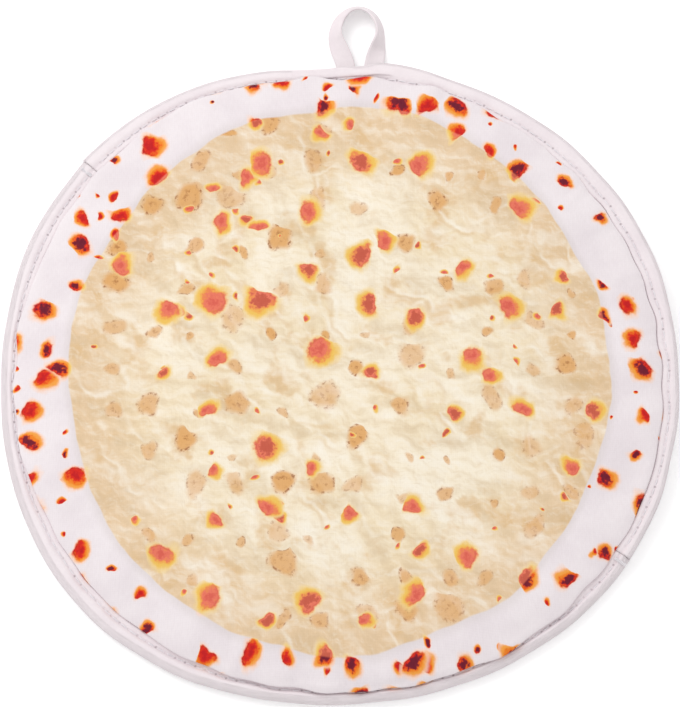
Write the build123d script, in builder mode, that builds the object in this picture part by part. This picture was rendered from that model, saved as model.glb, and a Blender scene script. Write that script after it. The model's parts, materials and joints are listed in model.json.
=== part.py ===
from build123d import *
import math
import os

# A round, quilted cloth pouch that keeps a stack of tortillas warm. It lies flat on its back
# panel. The loop is at +Y, the front panel faces +Z, and the origin is the middle of the back
# panel's underside. All lengths are in millimetres, all angles in degrees.

# ---- the pouch as a whole
pouch_diameter = 305.0     # over the edge binding, twelve inches
pocket_height = 8.0        # free height between the linings in the middle
back_ease = 17.0           # width of the ring, inside the tape, where the underside curves up

# ---- cloth layers
cover_thickness = 0.6
batting_thickness = 3.6    # the padding where it is free
batting_at_rim = 1.0       # the padding where the seam squeezes it
lining_thickness = 0.5

# ---- the front panel's crown
crown_fall = 50.0          # width of the ring, inside the tape, where the crown falls away
shoulder_drop = 2.0        # how far it has fallen at that ring's inner edge
rim_slope = 12.0           # how steeply it leaves the seam

# ---- edge binding, a folded tape that wraps a raw edge
tape_width = 10.5          # seen on each face
tape_thickness = 0.9
fold_rounding = 0.4        # the fold's outer radius is this much more than the tape's thickness

# ---- sewing thread
thread_width = 0.7
thread_height = 0.25
thread_crest = 0.3         # flat top of the row of stitches
seam_inset = 2.7           # from the tape's inner edge to its seam
seam_turn = 359.0          # how far the back seam runs round before it meets its own start

# ---- the mouth, a half-moon between the two ends of the fold line
mouth_bearing = 37.5       # middle of the mouth, clockwise from the loop
fold_offset = 10.0         # from the pouch's middle to the fold line
fold_clearance = 0.6       # between the two halves of the front panel
mouth_clearance = 0.3      # between the two bound edges' seams at the mouth's ends
mouth_lift = 3.0           # how far the flap stands open by itself
tack_length = 9.0          # close stitching across the tape, at the mouth's ends
tack_width = 1.6
tack_setback = 3.0         # from the fold line

# ---- hanging loop, the tail of the edge tape
loop_bearing = 3.0         # clockwise from +Y
loop_tape_width = 9.0
loop_tape_thickness = 1.6
loop_reach = 29.5          # from the rim to the top of the loop
eye_radius = 10.3          # to the middle of the tape
loop_twist = 65.0          # how far the tape stands up from flat round the eye
foot_length = 3.0
foot_spread = 13.6         # between the middles of the two feet
loop_clearance = 0.3       # between the rim and the feet
loop_floor_gap = 0.2       # under the loop's lower edge
loop_tack_length = 22.0
loop_tack_inset = 3.0      # in from the rim

# ---- worked out from the values above
rim_radius = pouch_diameter / 2
panel_radius = rim_radius - tape_thickness
tape_inner_radius = rim_radius - tape_width
seam_radius = tape_inner_radius + seam_inset
back_flat_radius = tape_inner_radius - back_ease
shoulder_radius = tape_inner_radius - crown_fall
panel_at_rim = cover_thickness + batting_at_rim + lining_thickness
panel_in_middle = cover_thickness + batting_thickness + lining_thickness

# Heights from the table up. The pocket's floor is level, and the seam lies level with it.
back_top = panel_in_middle
back_rim = back_top - panel_at_rim
tape_underside = back_rim - tape_thickness
front_rim = back_top
front_top_rim = front_rim + panel_at_rim
flap_rim = back_top + 2 * (tape_thickness + thread_height) + mouth_clearance
front_middle = panel_in_middle + pocket_height
front_top_middle = front_middle + panel_in_middle

# ---- frames
up = Vector(0, 0, 1)
mouth_direction = Vector(0, 1, 0).rotate(Axis.Z, -mouth_bearing)
fold_direction = Vector(1, 0, 0).rotate(Axis.Z, -mouth_bearing)
hinge_point = mouth_direction * fold_offset + up * front_top_middle


def lifted(vector: Vector) -> Vector:
    """A direction of the pouch, turned with the flap as it stands a little open."""
    return vector.rotate(Axis((0, 0, 0), fold_direction), mouth_lift)


pouch_frame = Plane.XY
flap_frame = Plane(
    hinge_point - lifted(hinge_point),
    x_dir=lifted(Vector(1, 0, 0)),
    z_dir=lifted(up),
)
pouch_cut = Plane(hinge_point - mouth_direction * (fold_clearance / 2), z_dir=mouth_direction)
flap_cut = Plane(
    hinge_point + lifted(mouth_direction) * (fold_clearance / 2), z_dir=lifted(mouth_direction)
)
seam_cut = Plane(hinge_point - mouth_direction * (tack_setback + tack_width), z_dir=mouth_direction)


def section(frame: Plane) -> Plane:
    """The plane of a half section: its x is the radius and its y the height in the frame."""
    return Plane(frame.origin, x_dir=frame.x_dir, z_dir=-frame.y_dir)


def middle_axis(frame: Plane) -> Axis:
    """The axis that a half section of this frame turns about."""
    return Axis(frame.origin, frame.z_dir)


def back_line(in_middle: float, at_rim: float):
    """Half section of one face in the back panel: level, then eased up to its height at the rim."""
    Line((0, in_middle), (back_flat_radius, in_middle))
    Spline(
        (back_flat_radius, in_middle), (tape_inner_radius, at_rim), tangents=((1, 0), (1, 0))
    )
    Line((tape_inner_radius, at_rim), (panel_radius, at_rim))


def crown_line(in_middle: float, at_rim: float):
    """Half section of one face in the front panel: crowned, and level again under the tape."""
    Spline(
        (0, in_middle),
        (shoulder_radius, in_middle - shoulder_drop),
        (tape_inner_radius, at_rim),
        tangents=((1, 0), (1, -math.tan(math.radians(rim_slope)))),
    )
    Line((tape_inner_radius, at_rim), (panel_radius, at_rim))


def layer_section(
    frame: Plane, line, low_middle: float, low_rim: float, middle: float, rim: float
) -> Sketch:
    """Half section of a cloth layer: its lower face's heights, then its thicknesses."""
    with BuildSketch(section(frame)) as profile:
        with BuildLine():
            line(low_middle, low_rim)
            line(low_middle + middle, low_rim + rim)
            Line((0, low_middle), (0, low_middle + middle))
            Line((panel_radius, low_rim), (panel_radius, low_rim + rim))
        make_face()
    return profile.sketch


def tape_section(frame: Plane, bottom: float, wrapped: float) -> Sketch:
    """Half section of the tape round an edge of the wrapped thickness, open towards the middle."""
    top = bottom + wrapped + 2 * tape_thickness
    with BuildSketch(section(frame)) as profile:
        with BuildLine():
            Polyline(
                (tape_inner_radius, bottom),
                (rim_radius, bottom),
                (rim_radius, top),
                (tape_inner_radius, top),
                (tape_inner_radius, top - tape_thickness),
                (panel_radius, top - tape_thickness),
                (panel_radius, bottom + tape_thickness),
                (tape_inner_radius, bottom + tape_thickness),
                close=True,
            )
        make_face()
        outer_corners = profile.vertices().group_by(Axis.X)[-1]
        fillet(outer_corners, radius=tape_thickness + fold_rounding)
    return profile.sketch


def thread_section(frame: Plane, face_height: float, side: int) -> Sketch:
    """Half section of a row of stitches on a face of the tape: side is 1 above it, -1 below."""
    crest_height = face_height + side * thread_height
    with BuildSketch(section(frame)) as profile:
        with BuildLine():
            Polyline(
                (seam_radius - thread_width / 2, face_height),
                (seam_radius - thread_crest / 2, crest_height),
                (seam_radius + thread_crest / 2, crest_height),
                (seam_radius + thread_width / 2, face_height),
                close=True,
            )
        make_face()
    return profile.sketch


# ---- back panel ---------------------------------------------------------------------------------
with BuildPart() as rear_cover:
    profile = layer_section(pouch_frame, back_line, 0, back_rim, cover_thickness, cover_thickness)
    revolve(profile, axis=middle_axis(pouch_frame))

with BuildPart() as rear_batting:
    profile = layer_section(
        pouch_frame,
        back_line,
        cover_thickness,
        back_rim + cover_thickness,
        batting_thickness,
        batting_at_rim,
    )
    revolve(profile, axis=middle_axis(pouch_frame))

with BuildPart() as rear_lining:
    profile = layer_section(
        pouch_frame,
        back_line,
        back_top - lining_thickness,
        back_top - lining_thickness,
        lining_thickness,
        lining_thickness,
    )
    revolve(profile, axis=middle_axis(pouch_frame))

# ---- front panel, the half that is sewn down ----------------------------------------------------
with BuildPart() as front_lining:
    profile = layer_section(
        pouch_frame,
        crown_line,
        front_middle,
        front_rim,
        lining_thickness,
        lining_thickness,
    )
    revolve(profile, axis=middle_axis(pouch_frame))
    split(bisect_by=pouch_cut, keep=Keep.BOTTOM)

with BuildPart() as front_batting:
    profile = layer_section(
        pouch_frame,
        crown_line,
        front_middle + lining_thickness,
        front_rim + lining_thickness,
        batting_thickness,
        batting_at_rim,
    )
    revolve(profile, axis=middle_axis(pouch_frame))
    split(bisect_by=pouch_cut, keep=Keep.BOTTOM)

with BuildPart() as front_cover:
    profile = layer_section(
        pouch_frame,
        crown_line,
        front_top_middle - cover_thickness,
        front_top_rim - cover_thickness,
        cover_thickness,
        cover_thickness,
    )
    revolve(profile, axis=middle_axis(pouch_frame))
    split(bisect_by=pouch_cut, keep=Keep.BOTTOM)

# ---- front panel, the half that opens -----------------------------------------------------------
with BuildPart() as flap_lining:
    profile = layer_section(
        flap_frame,
        crown_line,
        front_middle,
        flap_rim,
        lining_thickness,
        lining_thickness,
    )
    revolve(profile, axis=middle_axis(flap_frame))
    split(bisect_by=flap_cut, keep=Keep.TOP)

with BuildPart() as flap_batting:
    profile = layer_section(
        flap_frame,
        crown_line,
        front_middle + lining_thickness,
        flap_rim + lining_thickness,
        batting_thickness,
        batting_at_rim,
    )
    revolve(profile, axis=middle_axis(flap_frame))
    split(bisect_by=flap_cut, keep=Keep.TOP)

with BuildPart() as flap_cover:
    profile = layer_section(
        flap_frame,
        crown_line,
        front_top_middle - cover_thickness,
        flap_rim + panel_at_rim - cover_thickness,
        cover_thickness,
        cover_thickness,
    )
    revolve(profile, axis=middle_axis(flap_frame))
    split(bisect_by=flap_cut, keep=Keep.TOP)

# ---- edge binding -------------------------------------------------------------------------------
# One tape runs all the way round. It wraps both panels where they are sewn together, and the
# back panel alone along the mouth.
with BuildPart() as closed_run:
    profile = tape_section(pouch_frame, tape_underside, 2 * panel_at_rim)
    revolve(profile, axis=middle_axis(pouch_frame))
    split(bisect_by=pouch_cut, keep=Keep.BOTTOM)

with BuildPart() as mouth_run:
    profile = tape_section(pouch_frame, tape_underside, panel_at_rim)
    revolve(profile, axis=middle_axis(pouch_frame))
    split(bisect_by=pouch_cut, keep=Keep.TOP)

with BuildPart() as rim_binding:
    add(closed_run.part)
    add(mouth_run.part)

with BuildPart() as mouth_binding:
    profile = tape_section(flap_frame, flap_rim - tape_thickness, panel_at_rim)
    revolve(profile, axis=middle_axis(flap_frame))
    split(bisect_by=flap_cut, keep=Keep.TOP)

# ---- sewing -------------------------------------------------------------------------------------
with BuildPart() as rim_thread_front:
    profile = thread_section(pouch_frame, front_top_rim + tape_thickness, 1)
    revolve(profile, axis=middle_axis(pouch_frame))
    split(bisect_by=seam_cut, keep=Keep.BOTTOM)

with BuildPart() as rim_thread_back:
    profile = thread_section(pouch_frame, tape_underside, -1)
    revolve(profile, axis=middle_axis(pouch_frame), revolution_arc=seam_turn)

with BuildPart() as pocket_thread:
    profile = thread_section(pouch_frame, back_top + tape_thickness, 1)
    revolve(profile, axis=middle_axis(pouch_frame))
    split(bisect_by=pouch_cut, keep=Keep.TOP)

with BuildPart() as mouth_thread_front:
    profile = thread_section(flap_frame, flap_rim + panel_at_rim + tape_thickness, 1)
    revolve(profile, axis=middle_axis(flap_frame))
    split(bisect_by=flap_cut, keep=Keep.TOP)

with BuildPart() as mouth_thread_back:
    profile = thread_section(flap_frame, flap_rim - tape_thickness, -1)
    revolve(profile, axis=middle_axis(flap_frame))
    split(bisect_by=flap_cut, keep=Keep.TOP)


def mouth_tack(side: int) -> Plane:
    """Where a bar of close stitching crosses the tape beside the fold: side 1 is to the right."""
    along = side * math.sqrt(rim_radius**2 - fold_offset**2)
    end = mouth_direction * (fold_offset - tack_setback) + fold_direction * along
    outward = end.normalized()
    middle = outward * (rim_radius - tape_width / 2) + up * (front_top_rim + tape_thickness)
    return Plane(middle, x_dir=outward, z_dir=up)


# ---- hanging loop -------------------------------------------------------------------------------
loop_outward = Vector(0, 1, 0).rotate(Axis.Z, -loop_bearing)
loop_across = Vector(1, 0, 0).rotate(Axis.Z, -loop_bearing)
loop_height = tape_underside + tape_thickness + panel_at_rim / 2
root_radius = loop_tape_thickness / 2
root_at = rim_radius + loop_clearance + root_radius
# Its frame: x across, y outwards, z up, with the origin on the line that it swings about.
loop_frame = Plane(loop_outward * root_at + up * loop_height, x_dir=loop_across, z_dir=up)
twist = math.radians(loop_twist)
band_half_plan = (loop_tape_width * math.cos(twist) + loop_tape_thickness * math.sin(twist)) / 2
band_half_height = (loop_tape_width * math.sin(twist) + loop_tape_thickness * math.cos(twist)) / 2
eye_height = loop_floor_gap + band_half_height - loop_height
eye_centre = rim_radius + loop_reach - root_at - eye_radius - band_half_plan


def loop_section(outward: float) -> Plane:
    """A plane across the loop's legs, at a distance outwards from the swing line."""
    return Plane(
        loop_frame.from_local_coords(Vector(0, outward, 0)), x_dir=loop_across, z_dir=loop_outward
    )


def leg_section(outward: float, across: float, height: float, turn: float) -> Sketch:
    """The tape's section across one leg, with its outer edge turned up."""
    with BuildSketch(loop_section(outward)) as profile:
        # This plane's y points down, so heights and turns change sign.
        with Locations((across, -height)):
            Rectangle(loop_tape_width, loop_tape_thickness, rotation=-turn)
    return profile.sketch


# The tape stands up round the eye, lies flat at its feet and twists in between.
with BuildPart() as hanging_loop:
    eye_axis = Axis(loop_frame.from_local_coords(Vector(0, eye_centre, 0)), up)
    band = leg_section(eye_centre, eye_radius, eye_height, loop_twist)
    revolve(band, axis=eye_axis, revolution_arc=180)
    for side in (1, -1):
        at_eye = leg_section(eye_centre, side * eye_radius, eye_height, side * loop_twist)
        at_foot = leg_section(foot_length, side * foot_spread / 2, 0, 0)
        loft([at_eye.face(), at_foot.face()], ruled=True)
        extrude(at_foot, amount=foot_length, dir=-loop_outward)
        root = loop_frame.from_local_coords(Vector(side * foot_spread / 2, 0, 0))
        with Locations(Plane(root, x_dir=loop_outward, z_dir=loop_across)):
            Cylinder(root_radius, loop_tape_width)

# ---- bars of close stitching --------------------------------------------------------------------
with BuildPart() as mouth_tack_right:
    with BuildSketch(mouth_tack(1)):
        SlotOverall(tack_length, tack_width)
    extrude(amount=thread_height)

with BuildPart() as mouth_tack_left:
    with BuildSketch(mouth_tack(-1)):
        SlotOverall(tack_length, tack_width)
    extrude(amount=thread_height)

tack_middle = loop_outward * (rim_radius - loop_tack_inset) + up * tape_underside
with BuildPart() as loop_tack:
    with BuildSketch(Plane(tack_middle, x_dir=loop_across, z_dir=-up)):
        SlotOverall(loop_tack_length, tack_width)
    extrude(amount=thread_height)

# ---- files --------------------------------------------------------------------------------------
rear_cover.part.label = "rear_cover"
rear_batting.part.label = "rear_batting"
rear_lining.part.label = "rear_lining"
front_cover.part.label = "front_cover"
front_batting.part.label = "front_batting"
front_lining.part.label = "front_lining"
flap_cover.part.label = "flap_cover"
flap_batting.part.label = "flap_batting"
flap_lining.part.label = "flap_lining"
rim_binding.part.label = "rim_binding"
mouth_binding.part.label = "mouth_binding"
rim_thread_front.part.label = "rim_thread_front"
rim_thread_back.part.label = "rim_thread_back"
pocket_thread.part.label = "pocket_thread"
mouth_thread_front.part.label = "mouth_thread_front"
mouth_thread_back.part.label = "mouth_thread_back"
mouth_tack_right.part.label = "mouth_tack_right"
mouth_tack_left.part.label = "mouth_tack_left"
loop_tack.part.label = "loop_tack"
hanging_loop.part.label = "hanging_loop"

os.makedirs("parts", exist_ok=True)
export_step(rear_cover.part, "parts/rear_cover.step")
export_step(rear_batting.part, "parts/rear_batting.step")
export_step(rear_lining.part, "parts/rear_lining.step")
export_step(front_cover.part, "parts/front_cover.step")
export_step(front_batting.part, "parts/front_batting.step")
export_step(front_lining.part, "parts/front_lining.step")
export_step(flap_cover.part, "parts/flap_cover.step")
export_step(flap_batting.part, "parts/flap_batting.step")
export_step(flap_lining.part, "parts/flap_lining.step")
export_step(rim_binding.part, "parts/rim_binding.step")
export_step(mouth_binding.part, "parts/mouth_binding.step")
export_step(rim_thread_front.part, "parts/rim_thread_front.step")
export_step(rim_thread_back.part, "parts/rim_thread_back.step")
export_step(pocket_thread.part, "parts/pocket_thread.step")
export_step(mouth_thread_front.part, "parts/mouth_thread_front.step")
export_step(mouth_thread_back.part, "parts/mouth_thread_back.step")
export_step(mouth_tack_right.part, "parts/mouth_tack_right.step")
export_step(mouth_tack_left.part, "parts/mouth_tack_left.step")
export_step(loop_tack.part, "parts/loop_tack.step")
export_step(hanging_loop.part, "parts/hanging_loop.step")

# The joints' lines, for the record.
swing = loop_frame.origin
print(f"flap turns about {hinge_point.X:.3f} {hinge_point.Y:.3f} {hinge_point.Z:.3f}")
print(f"  along {fold_direction.X:.6f} {fold_direction.Y:.6f} 0")
print(f"loop swings about {swing.X:.3f} {swing.Y:.3f} {swing.Z:.3f}")
print(f"  along {loop_across.X:.6f} {loop_across.Y:.6f} 0")
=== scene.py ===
"""Dresses a round quilted cloth pouch, which keeps tortillas warm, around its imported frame.

Everything is in metres and in the frame's own axes: the pouch lies flat on its back panel, the hanging
loop points to +Y and the printed front panel faces up. A bearing is an angle seen from above, clockwise
from +Y. A ring says how far out a place on a panel is: 0 in the middle, 1 at the inner edge of the edge
tape, 2 at the panel's own raw edge inside the tape.
"""

import json
import logging
import math
import random
from abc import ABC, abstractmethod
from collections.abc import Callable
from dataclasses import dataclass, field
from enum import Enum

import bmesh
import bpy
import numpy as np
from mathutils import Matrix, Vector
from mathutils.bvhtree import BVHTree

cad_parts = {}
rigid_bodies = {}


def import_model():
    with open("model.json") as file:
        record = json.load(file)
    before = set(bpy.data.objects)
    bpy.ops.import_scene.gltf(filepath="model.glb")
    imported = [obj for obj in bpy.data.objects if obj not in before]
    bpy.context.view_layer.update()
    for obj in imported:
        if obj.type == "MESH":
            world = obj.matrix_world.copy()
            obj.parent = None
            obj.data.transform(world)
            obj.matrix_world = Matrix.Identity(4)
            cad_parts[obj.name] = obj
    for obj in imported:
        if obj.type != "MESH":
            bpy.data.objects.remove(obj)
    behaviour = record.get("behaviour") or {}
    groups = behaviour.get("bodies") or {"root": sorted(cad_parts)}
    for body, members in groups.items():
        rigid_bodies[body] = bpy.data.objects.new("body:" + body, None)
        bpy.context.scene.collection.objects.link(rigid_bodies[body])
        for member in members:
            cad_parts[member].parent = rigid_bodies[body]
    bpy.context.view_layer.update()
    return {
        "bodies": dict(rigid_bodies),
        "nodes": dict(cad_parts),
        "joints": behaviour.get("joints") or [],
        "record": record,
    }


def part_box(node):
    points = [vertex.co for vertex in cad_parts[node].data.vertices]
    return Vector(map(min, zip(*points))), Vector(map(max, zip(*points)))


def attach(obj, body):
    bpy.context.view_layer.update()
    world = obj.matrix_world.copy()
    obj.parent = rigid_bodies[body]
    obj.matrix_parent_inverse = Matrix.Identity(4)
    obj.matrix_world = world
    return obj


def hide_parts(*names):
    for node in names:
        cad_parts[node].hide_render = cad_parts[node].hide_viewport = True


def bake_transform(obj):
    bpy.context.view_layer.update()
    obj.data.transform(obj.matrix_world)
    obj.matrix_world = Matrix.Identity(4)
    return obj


MM = 0.001
PLACE = "cloth_place"  # the stored place of each point on its own cloth, before any bending

Array = np.ndarray
Socket = bpy.types.NodeSocket
Piece = bpy.types.Object
Curve = Callable[[Array], Array]  # a radius or a height at each bearing
Part = tuple[Array, list, Array]  # points, faces and cloth places

log = logging.getLogger("pouch")


class Side(Enum):
    """The two faces of a tape."""

    UPPER = 1
    UNDER = -1


class Layer(Enum):
    """The cloth layers of a padded panel, from the outside in."""

    COVER = "cover"
    PADDING = "padding"
    LINING = "lining"


NODE_WORDS = {Layer.COVER: "cover", Layer.PADDING: "batting", Layer.LINING: "lining"}


def smooth(low: float, high: float, value: Array) -> Array:
    """Eases from 0 at low to 1 at high."""
    share = np.clip((np.asarray(value, float) - low) / (high - low), 0.0, 1.0)
    return share * share * (3.0 - 2.0 * share)


def cubic(share: Array, ends: tuple, slopes: tuple, span: float) -> Array:
    """A smooth curve between two heights that has a given slope at each end.

    Args:
        share: How far along the curve, from 0 to 1.
        ends: The two heights.
        slopes: The two slopes.
        span: The level distance between the ends.

    Returns:
        The height at each share.
    """
    square, cube = share**2, share**3
    level = ends[0] * (1 - 3 * square + 2 * cube) + ends[1] * (3 * square - 2 * cube)
    return level + span * (slopes[0] * (share - 2 * square + cube) + slopes[1] * (cube - square))


def ripple(bearing: Array, seed: int, fewest: int, most: int) -> Array:
    """A seeded uneven wave round the rim, from about -1 to 1.

    Args:
        bearing: Where to read it, in radians.
        seed: Picks the wave.
        fewest: The lowest number of crests in a full turn.
        most: The highest number of crests.

    Returns:
        The wave's height at each bearing.
    """
    dice = random.Random(seed)
    counts = [dice.randint(fewest, most) for _ in range(5)]
    waves = [np.cos(n * bearing + dice.uniform(0, math.tau)) * dice.uniform(0.4, 1.0) for n in counts]
    return sum(waves) / 2.0


def turn_between(bearing: Array, middle: float) -> Array:
    """The signed turn from a middle bearing to each bearing, all in radians, never over half a turn."""
    return np.angle(np.exp(1j * (bearing - middle)))


def around(radius: Array, bearing: Array, height: Array) -> Array:
    """The points at those radii, bearings and heights, each as x, y and z."""
    return np.stack([radius * np.sin(bearing), radius * np.cos(bearing), height], -1)


def tape_place(along: Array, inward: Array) -> Array:
    """The cloth places on a tape: the way along it, then in from its edge."""
    return np.stack([along, inward, np.zeros_like(inward)], -1).reshape(-1, 3)


@dataclass(frozen=True)
class Hump:
    """A soft hump round the rim: its full size at a middle bearing, and near 0 beyond its reach.

    The middle and the reach to each side are in degrees.
    """

    size: float
    middle: float
    reach: float

    def at(self, bearing: Array) -> Array:
        """The hump's height at each bearing."""
        away = turn_between(bearing, math.radians(self.middle))
        return self.size * np.exp(-((away / math.radians(self.reach)) ** 2))


def heaped(humps: tuple, bearing: Array) -> Array:
    """The height of several humps together at each bearing."""
    return sum(hump.at(bearing) for hump in humps)


def make_piece(name: str, points: Array, faces: list, place: Array) -> Piece:
    """Makes a smooth mesh with its faces turned outwards and its cloth places stored.

    Args:
        name: The piece's name.
        points: One row of x, y, z for each point.
        faces: Tuples of point numbers.
        place: One row of three numbers for each point, for the weave and the print.

    Returns:
        The new object, linked to the scene.
    """
    mesh = bpy.data.meshes.new(name)
    mesh.from_pydata(points.tolist(), [], faces)
    work = bmesh.new()
    work.from_mesh(mesh)
    bmesh.ops.recalc_face_normals(work, faces=work.faces)
    work.to_mesh(mesh)
    work.free()
    mesh.polygons.foreach_set("use_smooth", [True] * len(mesh.polygons))
    stored = mesh.attributes.new(PLACE, "FLOAT_VECTOR", "POINT")
    stored.data.foreach_set("vector", np.asarray(place, np.float32).ravel())
    made = bpy.data.objects.new(name, mesh)
    bpy.context.scene.collection.objects.link(made)
    return made


def make_shell(name: str, upper: Array, lower: Array, place: Array) -> Piece:
    """Makes a closed round layer of cloth from its two faces.

    Args:
        name: The piece's name.
        upper: The upper face's points, as rings by spokes by 3. The first ring is the middle point.
        lower: The lower face's points, laid out in the same way.
        place: The cloth places of the upper face, laid out in the same way.

    Returns:
        The new object.
    """
    rings, spokes, _ = upper.shape
    here = np.arange(spokes)
    onward = (here + 1) % spokes
    points, places, faces, first_of = [], [], [], []
    for face in (upper, lower):
        first_of.append(sum(len(p) for p in points))
        points.append(np.vstack([face[0, :1], face[1:].reshape(-1, 3)]))
        places.append(np.vstack([place[0, :1], place[1:].reshape(-1, 3)]))
    for first in first_of:
        faces += [(first, first + 1 + b, first + 1 + a) for a, b in zip(here, onward)]
        for ring in range(rings - 2):
            inner = first + 1 + ring * spokes
            outer = inner + spokes
            faces += [(inner + a, inner + b, outer + b, outer + a) for a, b in zip(here, onward)]
    rims = [first + 1 + (rings - 2) * spokes for first in first_of]
    faces += [(rims[0] + a, rims[0] + b, rims[1] + b, rims[1] + a) for a, b in zip(here, onward)]
    return make_piece(name, np.vstack(points), faces, np.vstack(places))


def sweep_faces(stations: int, corners: int, first: int = 0) -> list:
    """The faces of a bar made of sections, with a cap at each end.

    Args:
        stations: How many sections there are.
        corners: How many points a section has.
        first: The number of the first point.

    Returns:
        The faces, as tuples of point numbers.
    """
    faces = []
    last = first + (stations - 1) * corners
    for a in range(first, last, corners):
        b = a + corners
        faces += [(a + i, a + (i + 1) % corners, b + (i + 1) % corners, b + i) for i in range(corners)]
    return faces + [tuple(range(first, first + corners)), tuple(range(last, last + corners))]


def join_parts(name: str, parts: list[Part]) -> Piece:
    """Makes one piece of several closed parts.

    Args:
        name: The piece's name.
        parts: The parts, each with its faces numbered from 0.

    Returns:
        The new object.
    """
    points, faces, places, first = [], [], [], 0
    for part_points, part_faces, part_places in parts:
        faces += [tuple(first + i for i in face) for face in part_faces]
        points.append(part_points)
        places.append(part_places)
        first += len(part_points)
    return make_piece(name, np.vstack(points), faces, np.vstack(places))


# ---- the pouch's form ----------------------------------------------------------------------------


@dataclass(frozen=True)
class Outline:
    """The pouch's outline from above: a circle that the stuffing has squared off a little."""

    half_width: float
    shorter: float = 2.9 * MM
    squareness: float = 2.143
    slant: float = 0.6 * MM
    three_sided: float = 1.0 * MM
    dents: tuple = (
        Hump(1.6 * MM, -10, 13),
        Hump(1.7 * MM, -3, 7),
        Hump(0.8 * MM, 47, 20),
        Hump(0.6 * MM, 148, 15),
        Hump(-0.6 * MM, -138, 15),
        Hump(-0.4 * MM, -60, 14),
    )

    def reach(self, bearing: Array) -> Array:
        """The distance from the middle to the rim at each bearing.

        Args:
            bearing: In radians.

        Returns:
            The distances.
        """
        across = np.abs(np.sin(bearing)) / self.half_width
        along = np.abs(np.cos(bearing)) / (self.half_width - self.shorter)
        square = (across**self.squareness + along**self.squareness) ** (-1.0 / self.squareness)
        leaning = self.slant * np.sin(2 * bearing) + self.three_sided * np.sin(3 * bearing)
        return square - leaning - heaped(self.dents, bearing)

    def reach_at(self, bearing: float) -> float:
        """The distance from the middle to the rim at one bearing."""
        return float(self.reach(np.array([bearing]))[0])


@dataclass(frozen=True)
class Bend:
    """Where a piece goes over from the pouch's own movement to that of another body."""

    body: str
    start: Vector
    end: Vector


@dataclass(frozen=True)
class Fold:
    """The line that the front panel's free half folds up along."""

    point: Vector
    axis: Vector
    bend_width: float = 36 * MM

    @property
    def forward(self) -> Vector:
        """The level direction from the fold towards the mouth."""
        return Vector((0, 0, 1)).cross(self.axis).normalized()

    def beyond(self, x: Array, y: Array) -> Array:
        """How far each place lies on the mouth's side of the fold."""
        return (x - self.point.x) * self.forward.x + (y - self.point.y) * self.forward.y

    def end_bearings(self, radius: float) -> tuple[float, float]:
        """The bearings at which the fold meets the rim, left end first.

        Args:
            radius: The rim's plain radius.

        Returns:
            The two bearings.
        """
        offset = self.point.x * self.forward.x + self.point.y * self.forward.y
        middle = math.atan2(self.forward.x, self.forward.y)
        half = math.acos(offset / radius)
        return middle - half, middle + half

    @property
    def bend(self) -> Bend:
        """Where a piece that lies on both sides of the fold bends over into the flap."""
        return Bend("flap", self.point, self.point + self.forward * self.bend_width)


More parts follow.
